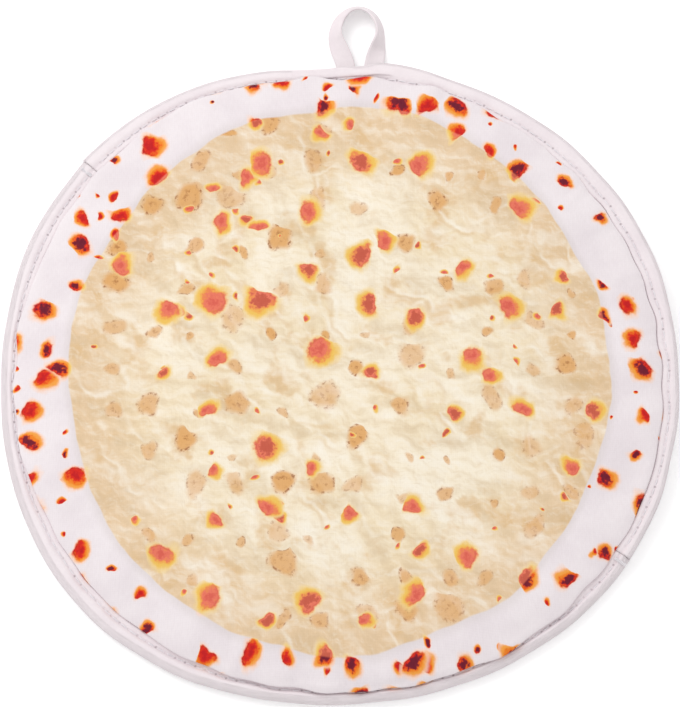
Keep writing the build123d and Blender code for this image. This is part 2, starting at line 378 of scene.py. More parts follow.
@dataclass(frozen=True)
class PouchForm:
    """Where each surface of the pouch lies. Heights and radii come from the frame or its driving sizes."""

    outline: Outline
    fold: Fold
    rim_radius: float
    floor_of_pocket: float
    tape_under: float
    tape_thickness: float = 0.9 * MM
    tape_width: float = 10.5 * MM
    tape_hidden: float = 0.3 * MM
    seam_inset: float = 2.7 * MM
    edge_inset: float = 2.0 * MM
    rim_stack: float = 2.1 * MM
    middle_stack: float = 4.7 * MM
    flap_step: float = 2.6 * MM
    flap_step_from: float = -10 * MM
    flap_step_to: float = 2 * MM
    lift: float = math.radians(3.0)
    lift_to: float = 25 * MM
    back_flat: float = 125 * MM
    shoulder: float = 92 * MM
    shoulder_drop: float = 2 * MM
    shoulder_slope: float = -0.11
    rim_slope: float = -0.2126
    roll: float = 1.3 * MM
    roll_reach: float = 0.9 * MM
    swell: float = 1.3 * MM
    swell_reach: float = 5 * MM
    swell_from: float = 15 * MM
    swell_to: float = 55 * MM
    overhang: float = 5.4 * MM
    fold_height: float = 1.2 * MM
    fold_reach: float = 1.5 * MM
    fold_wave: float = 0.2
    bottom_fold: Hump = Hump(0.7, 180, 33)
    least_roll: float = 0.2
    rolls: tuple = (Hump(0.8, -3, 37), Hump(0.95, 174, 38), Hump(0.7, -94, 22), Hump(0.8, 152, 14))
    slips: tuple = (
        Hump(1.3 * MM, -10, 34),
        Hump(2.5 * MM, 172, 38),
        Hump(1.8 * MM, -90, 26),
        Hump(3.3 * MM, 106, 36),
    )
    sink: float = 1.15 * MM
    sunk_places: tuple = (Hump(1, 186, 48), Hump(1, -2.0, 1.5), Hump(1, 8.2, 2.2))
    least_gather: float = 0.22 * MM
    gathers: tuple = (Hump(0.75 * MM, 62, 34), Hump(0.45 * MM, 178, 32))
    back_gather: float = 0.2 * MM

    @property
    def inner_radius(self) -> float:
        """The plain radius of the tape's inner edge."""
        return self.rim_radius - self.tape_width

    @property
    def tape_top(self) -> float:
        """The plain height of the tape's top where it wraps both panels."""
        return self.tape_under + 2 * (self.tape_thickness + self.rim_stack)

    @property
    def tape_on_back(self) -> float:
        """The height of the tape's top where it wraps the back panel alone."""
        return self.floor_of_pocket + self.tape_thickness

    def inside(self, ring: Array) -> Array:
        """The distance in from the tape's inner edge, 0 under the tape."""
        return (1.0 - np.minimum(ring, 1.0)) * self.inner_radius

    def tape_shown(self, bearing: Array) -> Array:
        """How much of the tape's width lies on the front. In places it has slipped round to the back."""
        return self.tape_width - self.tape_hidden - heaped(self.slips, bearing)

    def rolled_over(self, bearing: Array, inside: Array) -> Array:
        """How far the cover rolls over the tape: a little all round, and fully at the top, left and bottom.

        Args:
            bearing: In radians.
            inside: The distance in from the tape's inner edge. The fold is wavy only near it.

        Returns:
            The share, 1 for a full roll.
        """
        spare = 1 - self.least_roll
        for roll in self.rolls:
            spare = spare * (1 - roll.at(bearing))
        near = 1 - smooth(2.5 * MM, 10 * MM, inside)
        return np.clip((1 - spare) * (1 + self.fold_wave * ripple(bearing, 57, 14, 40) * near), 0, 1.2)

    def sunk(self, away: Array, bearing: Array) -> Array:
        """How deep the seam is pulled in, along the bottom and at two short slits beside the loop.

        Args:
            away: The distance out from the tape's inner edge.
            bearing: In radians.

        Returns:
            How far the cloth sinks there.
        """
        near = 1 - smooth(2.2 * MM, 5.0 * MM, away)
        where = np.minimum(heaped(self.sunk_places, bearing), 1.0)
        return self.sink * where * near * smooth(-6 * MM, 0, away)

    def out_from_lip(self, ring: Array, bearing: Array) -> Array:
        """How far out from the tape's inner edge each ring lies."""
        lip = self.lip(bearing)
        return (ring - 1.0) * np.where(ring > 1.0, self.edge(bearing) - lip, lip)

    def roll_out(self, ring: Array, bearing: Array) -> Array:
        """How far outwards the rolled cover has moved at each place.

        Args:
            ring: How far out each place is.
            bearing: The places' bearings.

        Returns:
            The distances.
        """
        inside = self.inside(ring)
        share = smooth(0.3 * MM, 2.0 * MM, inside) * (1 - smooth(4 * MM, 24 * MM, inside))
        return self.overhang * self.rolled_over(bearing, inside) * share

    def seam(self, bearing: Array) -> Array:
        """The radius of the front seam."""
        return self.outline.reach(bearing) - self.tape_shown(bearing) + self.seam_inset

    def back_seam(self, bearing: Array) -> Array:
        """The radius of the seam on the underside."""
        return self.outline.reach(bearing) - self.tape_width + self.seam_inset

    def lip(self, bearing: Array) -> Array:
        """The radius of the tape's inner edge on the front, wavy where the seam has gathered it."""
        gathered = self.least_gather + heaped(self.gathers, bearing)
        return self.seam(bearing) - self.seam_inset + gathered * ripple(bearing, 11, 22, 46)

    def back_lip(self, bearing: Array) -> Array:
        """The radius of the tape's inner edge on the underside."""
        return self.back_seam(bearing) - self.seam_inset + self.back_gather * ripple(bearing, 5, 18, 40)

    def edge(self, bearing: Array) -> Array:
        """The radius of the panels' raw edge inside the tape."""
        return self.outline.reach(bearing) - self.edge_inset

    def radius(self, ring: Array, bearing: Array, lip: Array) -> Array:
        """The radius of a ring and bearing, where lip is the radius of the tape's inner edge."""
        under_tape = (ring - 1.0) * (self.edge(bearing) - lip) + lip
        return np.where(ring <= 1.0, ring * lip, under_tape)

    def crown(self, radius: Array) -> Array:
        """The height of the front panel's plain crown at a radius of the round pattern.

        Args:
            radius: The places' radii.

        Returns:
            The heights.
        """
        top = self.fold.point.z
        at_shoulder = top - self.shoulder_drop
        rim = self.floor_of_pocket + self.rim_stack
        span = self.inner_radius - self.shoulder
        falling = (radius - self.shoulder) / span
        near = cubic(radius / self.shoulder, (top, at_shoulder), (0.0, self.shoulder_slope), self.shoulder)
        slopes = (self.shoulder_slope, self.rim_slope)
        far = cubic(np.clip(falling, 0.0, 1.0), (at_shoulder, rim), slopes, span)
        return np.where(falling < 0.0, near, far)

    def rise(self, ring: Array, radius: Array, bearing: Array) -> Array:
        """How much higher the front panel lies than its plain crown, because the mouth stands open.

        Args:
            ring: How far out each place is.
            radius: The places' radii.
            bearing: The places' bearings.

        Returns:
            The extra height of each place.
        """
        beyond = self.fold.beyond(radius * np.sin(bearing), radius * np.cos(bearing))
        outward = np.minimum(ring, 1.0) ** 3
        step = self.flap_step * smooth(self.flap_step_from, self.flap_step_to, beyond) * outward
        return step + math.sin(self.lift) * beyond * smooth(0, self.lift_to, beyond)

    def thickness(self, ring: Array) -> Array:
        """The front panel's plain thickness.

        Args:
            ring: How far out each place is.

        Returns:
            The thickness of each place.
        """
        fallen = self.fold.point.z - self.crown(np.minimum(ring, 1.0) * self.inner_radius)
        share = fallen / (self.fold.point.z - self.floor_of_pocket - self.rim_stack)
        return self.middle_stack + (self.rim_stack - self.middle_stack) * np.clip(share, 0, 1)

    def front_plain(self, ring: Array, bearing: Array) -> Array:
        """The height of the front panel's plain top, without puffing, puckers and the sunk seam."""
        radius = self.radius(ring, bearing, self.lip(bearing))
        return self.crown(np.minimum(ring, 1.0) * self.inner_radius) + self.rise(ring, radius, bearing)

    def puff(self, ring: Array, bearing: Array) -> Array:
        """How much the padding pushes the cover up beside the seam.

        Args:
            ring: How far out each place is.
            bearing: The places' bearings.

        Returns:
            The extra height of each place.
        """
        inside = self.inside(ring)
        rolled = self.roll * (1 - np.exp(-inside / self.roll_reach))
        swollen = self.swell * (1 - np.exp(-inside / self.swell_reach))
        high = self.fold_height * (1 + self.bottom_fold.at(bearing))
        folded = high * self.rolled_over(bearing, inside) * (1 - np.exp(-inside / self.fold_reach))
        return (rolled + swollen + folded) * (1 - smooth(self.swell_from, self.swell_to, inside))

    def tape_height(self, bearing: Array) -> Array:
        """The height of the tape's top where it wraps the front panel."""
        radius = self.radius(np.full_like(bearing, 1.5), bearing, self.lip(bearing))
        return self.tape_top + self.rise(np.ones_like(bearing), radius, bearing)

    def back_under(self, ring: Array) -> Array:
        """The height of the back panel's underside: flat on the table, then eased up to the tape.

        Args:
            ring: How far out each place is.

        Returns:
            The heights.
        """
        radius = np.minimum(ring, 1.0) * self.inner_radius
        back_rim = self.tape_under + self.tape_thickness
        return back_rim * smooth(self.back_flat, self.inner_radius, radius)

    def level(self, height: float) -> Curve:
        """A face of tape that stays at one height."""
        return lambda bearing: np.full_like(bearing, height)


# ---- finishes ------------------------------------------------------------------------------------


def paint(red: int, green: int, blue: int) -> tuple[float, float, float, float]:
    """A paint chip's screen colour, from 0 to 255, as the renderer's own colour."""
    parts = (((c / 255 + 0.055) / 1.055) ** 2.4 if c > 10 else c / 3295 for c in (red, green, blue))
    return (*parts, 1.0)


class Nodes:
    """The node tree of a material or a world, built up one node at a time."""

    def __init__(self, owner: bpy.types.ID) -> None:
        """Empties the tree of a material or a world.

        Args:
            owner: The material or the world.
        """
        owner.use_nodes = True
        self.owner = owner
        self.tree = owner.node_tree
        self.tree.nodes.clear()

    def add(self, kind: str, inputs: dict | None = None, **settings: object) -> bpy.types.Node:
        """Adds a node.

        Args:
            kind: Its type, without the word ShaderNode in front.
            inputs: Sockets or plain values by input name or number.
            **settings: The node's own settings.

        Returns:
            The node.
        """
        node = self.tree.nodes.new("ShaderNode" + kind)
        for key, value in settings.items():
            setattr(node, key, value)
        for key, value in (inputs or {}).items():
            if isinstance(value, Socket):
                self.tree.links.new(value, node.inputs[key])
            else:
                node.inputs[key].default_value = value
        return node

    def math(self, operation: str, *values: object) -> Socket:
        """A number worked out from one to three others."""
        return self.add("Math", dict(enumerate(values)), operation=operation).outputs[0]

    def times(self, first: object, second: object) -> Socket:
        """One number times another."""
        return self.math("MULTIPLY", first, second)

    def summed(self, *terms: tuple) -> Socket:
        """The sum of some numbers.

        Args:
            *terms: Pairs of a number and how many times it counts.

        Returns:
            The sum.
        """
        total = 0.0
        for value, share in terms:
            total = self.math("MULTIPLY_ADD", value, share, total)
        return total

    def off(self, value: object, middle: float) -> Socket:
        """How far a number is from a middle value, to either side."""
        return self.math("ABSOLUTE", self.math("SUBTRACT", value, middle))

    def length(self, first: object, second: object) -> Socket:
        """The length of a way that goes so far in one direction and so far across it."""
        return self.math("SQRT", self.math("ADD", self.times(first, first), self.times(second, second)))

    def vector(self, operation: str, *values: object) -> Socket:
        """A vector worked out from one or two others."""
        return self.add("VectorMath", dict(enumerate(values)), operation=operation).outputs[0]

    def scaled(self, value: object, by: float) -> Socket:
        """A vector times a number."""
        return self.add("VectorMath", {0: value, "Scale": by}, operation="SCALE").outputs[0]

    def turned(self, value: object, angle: object) -> Socket:
        """A place on flat cloth, turned about the cloth's own middle."""
        return self.add("VectorRotate", {"Vector": value, "Angle": angle}, rotation_type="Z_AXIS").outputs[0]

    def split(self, value: object) -> tuple:
        """The first two parts of a vector."""
        return tuple(self.add("SeparateXYZ", {0: value}).outputs[:2])

    def eased(self, value: object, low: float, high: float, to: tuple = (0.0, 1.0)) -> Socket:
        """Eases a number: it gives the first of to at low, and the second at high."""
        inputs = {"Value": value, "From Min": low, "From Max": high, "To Min": to[0], "To Max": to[1]}
        return self.add("MapRange", inputs, interpolation_type="SMOOTHSTEP").outputs[0]

    def mix(self, share: object, first: object, second: object, blend: str = "MIX") -> Socket:
        """Mixes the second colour into the first by a share, which is held between 0 and 1."""
        return self.add("Mix", {0: share, 6: first, 7: second}, data_type="RGBA", blend_type=blend).outputs[2]

    def noise(
        self, place: object, size: float, detail: float = 2.0, rough: float = 0.5, output: int = 0
    ) -> Socket:
        """Noise with features of about that size, on flat cloth. Output 1 is three at once, as a colour."""
        inputs = {"Vector": place, "Scale": 1.0 / size, "Detail": detail, "Roughness": rough}
        return self.add("TexNoise", inputs, noise_dimensions="2D").outputs[output]

    def shifted(self, place: object, size: float, most: float) -> Socket:
        """A shift to and fro that differs from place to place, by up to about half of most."""
        color = self.noise(place, size, 1.0, output=1)
        return self.scaled(self.vector("SUBTRACT", color, (0.5, 0.5, 0.5)), most)

    def cells(self, place: object, size: float, jitter: float, feature: str) -> bpy.types.Node:
        """A seeded scatter of places, about that far apart."""
        inputs = {"Vector": place, "Scale": 1.0 / size, "Randomness": jitter}
        return self.add("TexVoronoi", inputs, voronoi_dimensions="2D", feature=feature)

    def ramp(self, value: object, stops: tuple) -> Socket:
        """A colour read off a ramp.

        Args:
            value: Where to read it.
            stops: Pairs of a position and a colour.

        Returns:
            The colour.
        """
        node = self.add("ValToRGB", {0: value})
        ramp = node.color_ramp
        ramp.interpolation = "EASE"
        while len(ramp.elements) < len(stops):
            ramp.elements.new(1.0)
        for element, (position, color) in zip(ramp.elements, stops):
            element.position = position
            element.color = color
        return node.outputs[0]

    def cloth_place(self) -> Socket:
        """The stored place on the cloth, in millimetres."""
        stored = self.add("Attribute", attribute_name=PLACE, attribute_type="GEOMETRY")
        return self.scaled(stored.outputs["Vector"], 1 / MM)

    def weave(self, place: object, pitch: float) -> Socket:
        """The height, from 0 to 1, of yarns that pass over and under each other, so far apart."""
        waves = [self.math("SINE", part) for part in self.split(self.scaled(place, math.pi / pitch))]
        return self.math("SQRT", self.math("ABSOLUTE", self.times(*waves)))

    def finish(self, color: object, roughness: object, height: object, depth: float, sheen: float) -> None:
        """Wires a cloth surface to the output.

        Args:
            color: The base colour.
            roughness: The roughness.
            height: What the bump reads, from 0 to 1.
            depth: How deep the bump is, in metres.
            sheen: How much fuzz the cloth has.
        """
        bump = self.add("Bump", {"Height": height, "Strength": 1.0, "Distance": depth})
        cloth = {"Base Color": color, "Roughness": roughness, "Normal": bump.outputs[0]}
        fuzz = {"Sheen Weight": sheen, "Sheen Roughness": 0.5, "Specular IOR Level": 0.25}
        surface = self.add("BsdfPrincipled", cloth | fuzz)
        self.add("OutputMaterial", {0: surface.outputs[0]})


@dataclass(frozen=True)
class Finish(ABC):
    """A finish: the name of its material, and how its surface is made."""

    name: str

    @abstractmethod
    def surface(self, nodes: Nodes, place: object) -> None:
        """Builds the surface from the place on the cloth, in millimetres."""

    def material(self) -> bpy.types.Material:
        """Builds the material.

        Returns:
            The material.
        """
        nodes = Nodes(bpy.data.materials.new(self.name))
        self.surface(nodes, nodes.cloth_place())
        return nodes.owner


@dataclass(frozen=True)
class PlainCloth(Finish):
    """A plain woven cloth, a little uneven in colour."""

    color: tuple
    shade: tuple
    pitch: float = 0.8
    depth: float = 0.05 * MM
    crumple: float = 0.35
    roughness: float = 0.88
    sheen: float = 0.08

    def surface(self, nodes: Nodes, place: object) -> None:
        """Builds the surface: yarns with thick places, and a slow change of tone.

        Args:
            nodes: The tree to build in.
            place: Where on the cloth.
        """
        weave = nodes.weave(place, self.pitch)
        slub = nodes.noise(place, 2.2, 3.0, 0.6)
        cloud = nodes.noise(place, 26.0, 3.0)
        tone = nodes.eased(cloud, 0.35, 0.7, (0.0, 0.35))
        share = nodes.times(nodes.summed((weave, 0.22), (slub, 0.35), (tone, 1.0)), 0.8)
        height = nodes.summed((weave, 0.6), (slub, self.crumple), (cloud, 4.0))
        rough = nodes.eased(slub, 0.3, 0.7, (self.roughness - 0.05, self.roughness + 0.05))
        nodes.finish(nodes.mix(share, self.color, self.shade), rough, height, self.depth, self.sheen)


@dataclass(frozen=True)
class TapeFinish(Finish):
    """Folded bias tape: a close diagonal weave, with needle holes along its seam. The holes and a narrow band
    along the seam carry painted shade.
    """

    color: tuple
    shade: tuple
    seam: float
    stitch_pitch: float
    # painted shade: the colour of the needle holes stands in for the shade inside them
    hole: tuple = paint(146, 132, 138)
    pitch: float = 0.62
    depth: float = 0.06 * MM
    sheen: float = 0.1

    def surface(self, nodes: Nodes, place: object) -> None:
        """Builds the surface. The place is the way along the tape, then in from its edge.

        Args:
            nodes: The tree to build in.
            place: Where on the cloth.
        """
        weave = nodes.weave(nodes.turned(place, math.radians(45)), self.pitch)
        slub = nodes.noise(place, 1.6, 3.0, 0.6)
        cloud = nodes.noise(place, 14.0, 3.0)
        run, inward = nodes.split(place)
        stitch = self.stitch_pitch / MM
        from_middle = nodes.off(nodes.math("FRACT", nodes.math("DIVIDE", run, stitch)), 0.5)
        along = nodes.times(nodes.math("SUBTRACT", 0.5, from_middle), stitch)
        across = nodes.math("SUBTRACT", inward, self.seam / MM)
        hole = nodes.eased(nodes.length(along, across), 0.75, 0.2)
        # painted shade along the seam's groove: within about 1.3 mm of the stitch line the tape is mixed
        # towards its grey
        beside = nodes.eased(nodes.math("ABSOLUTE", across), 1.3, 0.2)
        tone = nodes.eased(cloud, 0.35, 0.7, (0.0, 0.3))
        share = nodes.summed((weave, 0.2), (slub, 0.4), (tone, 1.0), (beside, 0.3))
        color = nodes.mix(share, self.color, self.shade)
        # painted shade in the needle holes, deeper in some holes than in others
        hole_shade_share = nodes.eased(nodes.noise(place, 6.0, 2.0), 0.36, 0.66, (0.0, 0.6))
        color = nodes.mix(nodes.times(hole, hole_shade_share), color, self.hole)
        height = nodes.summed((weave, 0.5), (slub, 0.5), (cloud, 2.5), (hole, -3.0))
        nodes.finish(color, nodes.eased(slub, 0.3, 0.7, (0.8, 0.9)), height, self.depth, self.sheen)


@dataclass(frozen=True)
class ThreadFinish(Finish):
    """Spun sewing thread: two plies that wind round each other."""

    color: tuple
    shade: tuple
    depth: float = 0.05 * MM
    sheen: float = 0.15

    def surface(self, nodes: Nodes, place: object) -> None:
        """Builds the surface. The place is the way along the thread, then round it.

        Args:
            nodes: The tree to build in.
            place: Where on the cloth.
        """
        plies = nodes.weave(nodes.turned(place, math.radians(38)), 0.35)
        fluff = nodes.noise(place, 0.5, 2.0)
        color = nodes.mix(nodes.summed((fluff, 0.4), (plies, 0.6)), self.color, self.shade)
        rough = nodes.eased(fluff, 0.3, 0.7, (0.6, 0.8))
        nodes.finish(color, rough, nodes.math("ADD", plies, fluff), self.depth, self.sheen)


@dataclass(frozen=True)
class Batting(Finish):
    """Needled fibre padding: a matted, fluffy felt."""

    color: tuple = paint(248, 248, 244)
    shade: tuple = paint(222, 220, 214)
    depth: float = 0.4 * MM
    sheen: float = 0.3

    def surface(self, nodes: Nodes, place: object) -> None:
        """Builds the surface: long fibres in soft clumps.

        Args:
            nodes: The tree to build in.
            place: Where on the cloth.
        """
        fibres = nodes.noise(nodes.vector("MULTIPLY", place, (1.0, 3.0, 1.0)), 1.2, 6.0, 0.7)
        clumps = nodes.noise(place, 7.0, 4.0)
        color = nodes.mix(nodes.summed((fibres, 0.5), (clumps, 0.6)), self.color, self.shade)
        height = nodes.summed((clumps, 2.0), (fibres, 1.0))
        nodes.finish(color, nodes.eased(fibres, 0.3, 0.7, (0.9, 1.0)), height, self.depth, self.sheen)


@dataclass(frozen=True)
class Scatter:
    """One scatter of coloured dabs on the printed cloth, in millimetres. The shares are from 0 to 1."""

    spacing: float
    smallest: float
    largest: float
    on_bread: float
    on_margin: float
    cored: float
    shift: tuple


@dataclass(frozen=True)
class Spots:
    """What a scatter gives at each place.

    They are: how far from the dab's middle it is, 1 at the dab's edge; the same for the dab's halo, which
    sits to one side; the way across the dab; and a chance that is the same all over it.
    """

    away: object
    halo: object
    across: object
    fate: object


@dataclass(frozen=True)
class Inks:
    """The inks of the dabs. Each pair is the ink on the white margin, then the faded one on the bread."""

    glow: tuple = (paint(253, 214, 190), paint(244, 214, 148))
    amber: tuple = (paint(244, 158, 40), paint(240, 194, 88))
    core: tuple = (paint(84, 22, 46), paint(196, 92, 70))
    seared: tuple = (paint(150, 22, 26), paint(206, 92, 74))
    vivid: tuple = (
        (0.15, paint(196, 26, 30)),
        (0.5, paint(220, 40, 26)),
        (0.8, paint(236, 96, 26)),
        (1.0, paint(240, 132, 34)),
    )
    faded: tuple = (
        (0.1, paint(220, 100, 84)),
        (0.5, paint(234, 122, 98)),
        (0.82, paint(236, 142, 84)),
        (1.0, paint(240, 172, 84)),
    )


@dataclass(frozen=True)
class PrintedCloth(Finish):
    """White cloth printed with a toasted flatbread, and with dabs of red and amber scattered over it."""

    half_width: float = 121.0
    half_depth: float = 125.5
    middle: tuple = (0.8, -2.0, 0.0)
    jitter: float = 0.6
    inks: Inks = Inks()
    scatters: tuple = (
        Scatter(10.5, 0.9, 1.9, 0.13, 0.26, 0.2, (57.0, 23.0, 0.0)),
        Scatter(15.5, 2.4, 5.8, 0.05, 0.8, 0.5, (41.0, 9.0, 0.0)),
        Scatter(22.5, 3.2, 7.0, 0.46, 0.12, 0.3, (13.0, 71.0, 0.0)),
    )
    toast: Scatter = Scatter(19.0, 2.2, 8.0, 0.74, 0.0, 0.0, (31.0, 5.0, 0.0))

    def out_of_bread(self, nodes: Nodes, place: object) -> Socket:
        """How far out of the flatbread's middle a place is.

        Args:
            nodes: The tree to build in.
            place: Where on the cloth.

        Returns:
            The distance, 1 at the bread's plain edge.
        """
        moved = nodes.vector("SUBTRACT", place, self.middle)
        squeezed = nodes.vector("MULTIPLY", moved, (1 / self.half_width, 1 / self.half_depth, 0.0))
        return nodes.add("VectorMath", {0: squeezed}, operation="LENGTH").outputs["Value"]

    def spots(self, nodes: Nodes, place: object, scatter: Scatter) -> Spots:
        """Places one scatter of dabs.

        Args:
            nodes: The tree to build in.
            place: Where on the cloth, already a little warped.
            scatter: The scatter.

        Returns:
            Where each place lies in its dab.
        """
        moved = nodes.vector("ADD", place, scatter.shift)
        cells = nodes.cells(moved, scatter.spacing, self.jitter, "F1")
        border = nodes.cells(moved, scatter.spacing, self.jitter, "DISTANCE_TO_EDGE").outputs["Distance"]
        luck, bulk, turn = nodes.add("SeparateColor", {0: cells.outputs["Color"]}).outputs[:3]
        middles = nodes.vector("MULTIPLY", cells.outputs["Position"], (1.0, 1.0, 0.0))
        own_place = nodes.vector("SUBTRACT", middles, scatter.shift)
        local = nodes.turned(nodes.vector("SUBTRACT", moved, middles), nodes.times(turn, 40.0))
        run, side = nodes.split(local)
        size = nodes.math("MULTIPLY_ADD", bulk, scatter.largest - scatter.smallest, scatter.smallest)
        long_way = nodes.math("DIVIDE", run, size)
        fatness = nodes.math("FRACT", nodes.times(bulk, 9.1))
        width = nodes.times(size, nodes.math("MULTIPLY_ADD", fatness, 0.36, 0.58))
        bowed = nodes.math("SUBTRACT", nodes.times(nodes.times(long_way, long_way), 0.26), 0.08)
        short_way = nodes.math("ADD", nodes.math("DIVIDE", side, width), bowed)
        margin = nodes.math("GREATER_THAN", self.out_of_bread(nodes, own_place), 1.0)
        share = nodes.math("MULTIPLY_ADD", margin, scatter.on_margin - scatter.on_bread, scatter.on_bread)
        absent = nodes.math("GREATER_THAN", luck, share)
        spoil = nodes.math("MULTIPLY_ADD", absent, 50.0, nodes.eased(border, 0.1, 0.0))
        aside = nodes.length(long_way, nodes.math("SUBTRACT", short_way, 0.26))
        return Spots(
            away=nodes.math("ADD", nodes.length(long_way, short_way), spoil),
            halo=nodes.math("MULTIPLY_ADD", aside, 0.86, spoil),
            across=short_way,
            fate=nodes.math("FRACT", nodes.times(turn, 7.3)),
        )

    def dab_over(
        self, nodes: Nodes, under: object, spots: Spots, grain: object, bread: object, cored: float
    ) -> Socket:
        """Prints one scatter of dabs over a colour.

        Args:
            nodes: The tree to build in.
            under: The colour below.
            spots: Where each place lies in its dab.
            grain: A fine noise around 0.
            bread: 1 over the flatbread, where the dabs are faded.
            cored: The share of dabs with a dark core.

        Returns:
            The colour with the dabs on it.
        """
        inks = self.inks
        away = nodes.math("MULTIPLY_ADD", grain, 0.22, spots.away)
        halo = nodes.math("MULTIPLY_ADD", grain, 0.2, spots.halo)
        ragged = nodes.math("MULTIPLY_ADD", grain, 0.8, away)
        color = nodes.mix(nodes.eased(halo, 1.34, 0.86, (0.0, 0.85)), under, nodes.mix(bread, *inks.glow))
        color = nodes.mix(nodes.eased(halo, 1.04, 0.7, (0.0, 0.92)), color, nodes.mix(bread, *inks.amber))
        tone = nodes.math("MULTIPLY_ADD", spots.across, 0.30, ragged)
        body = nodes.mix(bread, nodes.ramp(tone, inks.vivid), nodes.ramp(tone, inks.faded))
        color = nodes.mix(nodes.eased(away, 1.02, 0.78), color, body)
        deep = nodes.times(nodes.eased(ragged, 0.7, 0.42), nodes.math("LESS_THAN", spots.fate, cored))
        color = nodes.mix(nodes.times(deep, 0.85), color, nodes.mix(bread, *inks.core))
        line = nodes.eased(nodes.off(away, 0.78), 0.1, 0.0)
        seared = nodes.times(line, nodes.eased(spots.across, 0.2, -0.6, (0.0, 0.5)))
        return nodes.mix(seared, color, nodes.mix(bread, *inks.seared))

    def dough(self, nodes: Nodes, place: object, warped: object, out: object) -> Socket:
        """The flatbread's own colour: pale dough with soft wrinkles, a tanned edge and toasted rounds.

        Args:
            nodes: The tree to build in.
            place: Where on the cloth.
            warped: The same, a little warped.
            out: How far out of the flatbread's middle.

        Returns:
            The colour.
        """
        cloud = nodes.noise(place, 34.0, 4.0)
        color = nodes.mix(nodes.eased(cloud, 0.34, 0.68), paint(249, 237, 213), paint(242, 224, 190))
        color = nodes.mix(nodes.eased(out, 0.62, 1.0, (0.0, 0.9)), color, paint(230, 199, 160))
        patch = nodes.noise(place, 19.0, 3.0, 0.6)
        color = nodes.mix(nodes.eased(patch, 0.52, 0.72, (0.0, 0.75)), color, paint(226, 190, 140))
        stretched = nodes.vector("MULTIPLY", warped, (1.0, 1.25, 1.0))
        for size, reach, gain in ((34.0, 2.4, 3.6), (9.0, 0.7, 1.9)):
            beside = nodes.vector("ADD", stretched, (reach * 0.6, reach, 0.0))
            here, there = (nodes.noise(at, size, 3.0) for at in (stretched, beside))
            slope = nodes.times(nodes.math("SUBTRACT", there, here), gain)
            color = nodes.mix(nodes.times(slope, 1.2), color, paint(210, 184, 146))
            color = nodes.mix(nodes.times(slope, -1.5), color, paint(253, 247, 234))
        some = nodes.eased(nodes.noise(place, 40.0, 2.0), 0.42, 0.62)
        ridges = []
        for at in (warped, nodes.vector("ADD", warped, (1.0, 1.5, 0.0))):
            ridges.append(nodes.eased(nodes.off(nodes.noise(at, 24.0, 1.5, 0.4), 0.5), 0.07, 0.0))
        slope = nodes.times(nodes.math("SUBTRACT", ridges[1], ridges[0]), some)
        color = nodes.mix(nodes.times(slope, 0.4), color, paint(222, 190, 146))
        color = nodes.mix(nodes.times(slope, -0.4), color, paint(255, 251, 240))
        spots = self.spots(nodes, warped, self.toast)
        strength = nodes.math("MULTIPLY_ADD", spots.fate, 0.5, 0.46)
        soft = nodes.times(nodes.eased(spots.away, 1.1, 0.55), strength)
        color = nodes.mix(soft, color, paint(226, 170, 104))
        specks = nodes.eased(nodes.noise(place, 2.6, 4.0, 0.7), 0.5, 0.66)
        ring = nodes.eased(nodes.off(spots.away, 0.8), 0.22, 0.0, (0.0, 0.9))
        inside = nodes.eased(spots.away, 0.7, 0.2, (0.0, 0.6))
        brown = nodes.times(nodes.times(nodes.math("MAXIMUM", ring, inside), specks), strength)
        return nodes.mix(brown, color, paint(152, 84, 34))

    def surface(self, nodes: Nodes, place: object) -> None:
        """Builds the surface: the bare cloth, the flatbread on it and the dabs over both.

        Args:
            nodes: The tree to build in.
            place: Where on the cloth.
        """
        warped = nodes.vector("ADD", place, nodes.shifted(place, 9.0, 4.5))
        warped = nodes.vector("ADD", warped, nodes.shifted(place, 2.6, 0.7))
        warped = nodes.vector("MULTIPLY", warped, (1.0, 1.0, 0.0))
        grain = nodes.math("SUBTRACT", nodes.noise(place, 1.9, 2.0, 0.6), 0.5)
        uneven = nodes.math("MULTIPLY_ADD", nodes.noise(place, 46.0, 3.0, 0.45), 0.06, -0.03)
        out = nodes.math("ADD", self.out_of_bread(nodes, place), uneven)
        bread = nodes.eased(out, 1.004, 0.997)
        tint = nodes.eased(nodes.noise(place, 22.0, 3.0), 0.3, 0.7)
        bare = nodes.mix(tint, paint(242, 234, 236), paint(236, 227, 230))
        bare = nodes.mix(nodes.eased(out, 1.035, 1.0, (0.0, 0.3)), bare, paint(206, 196, 190))
        color = nodes.mix(bread, bare, self.dough(nodes, place, warped, out))
        for scatter in self.scatters:
            spots = self.spots(nodes, warped, scatter)
            color = self.dab_over(nodes, color, spots, grain, bread, scatter.cored)
        weave = nodes.weave(place, 0.9)
        slub = nodes.noise(nodes.vector("MULTIPLY", place, (3.0, 1.0, 1.0)), 2.6, 3.0, 0.6)
        yarn = nodes.summed((weave, 0.05), (slub, 0.13))
        color = nodes.mix(yarn, color, paint(176, 160, 166), "MULTIPLY")
        crease = nodes.noise(place, 34.0, 4.0)
        height = nodes.summed((weave, 0.4), (slub, 0.5), (crease, 12.0))
        nodes.finish(color, nodes.eased(slub, 0.3, 0.7, (0.8, 0.92)), height, 0.05 * MM, 0.06)


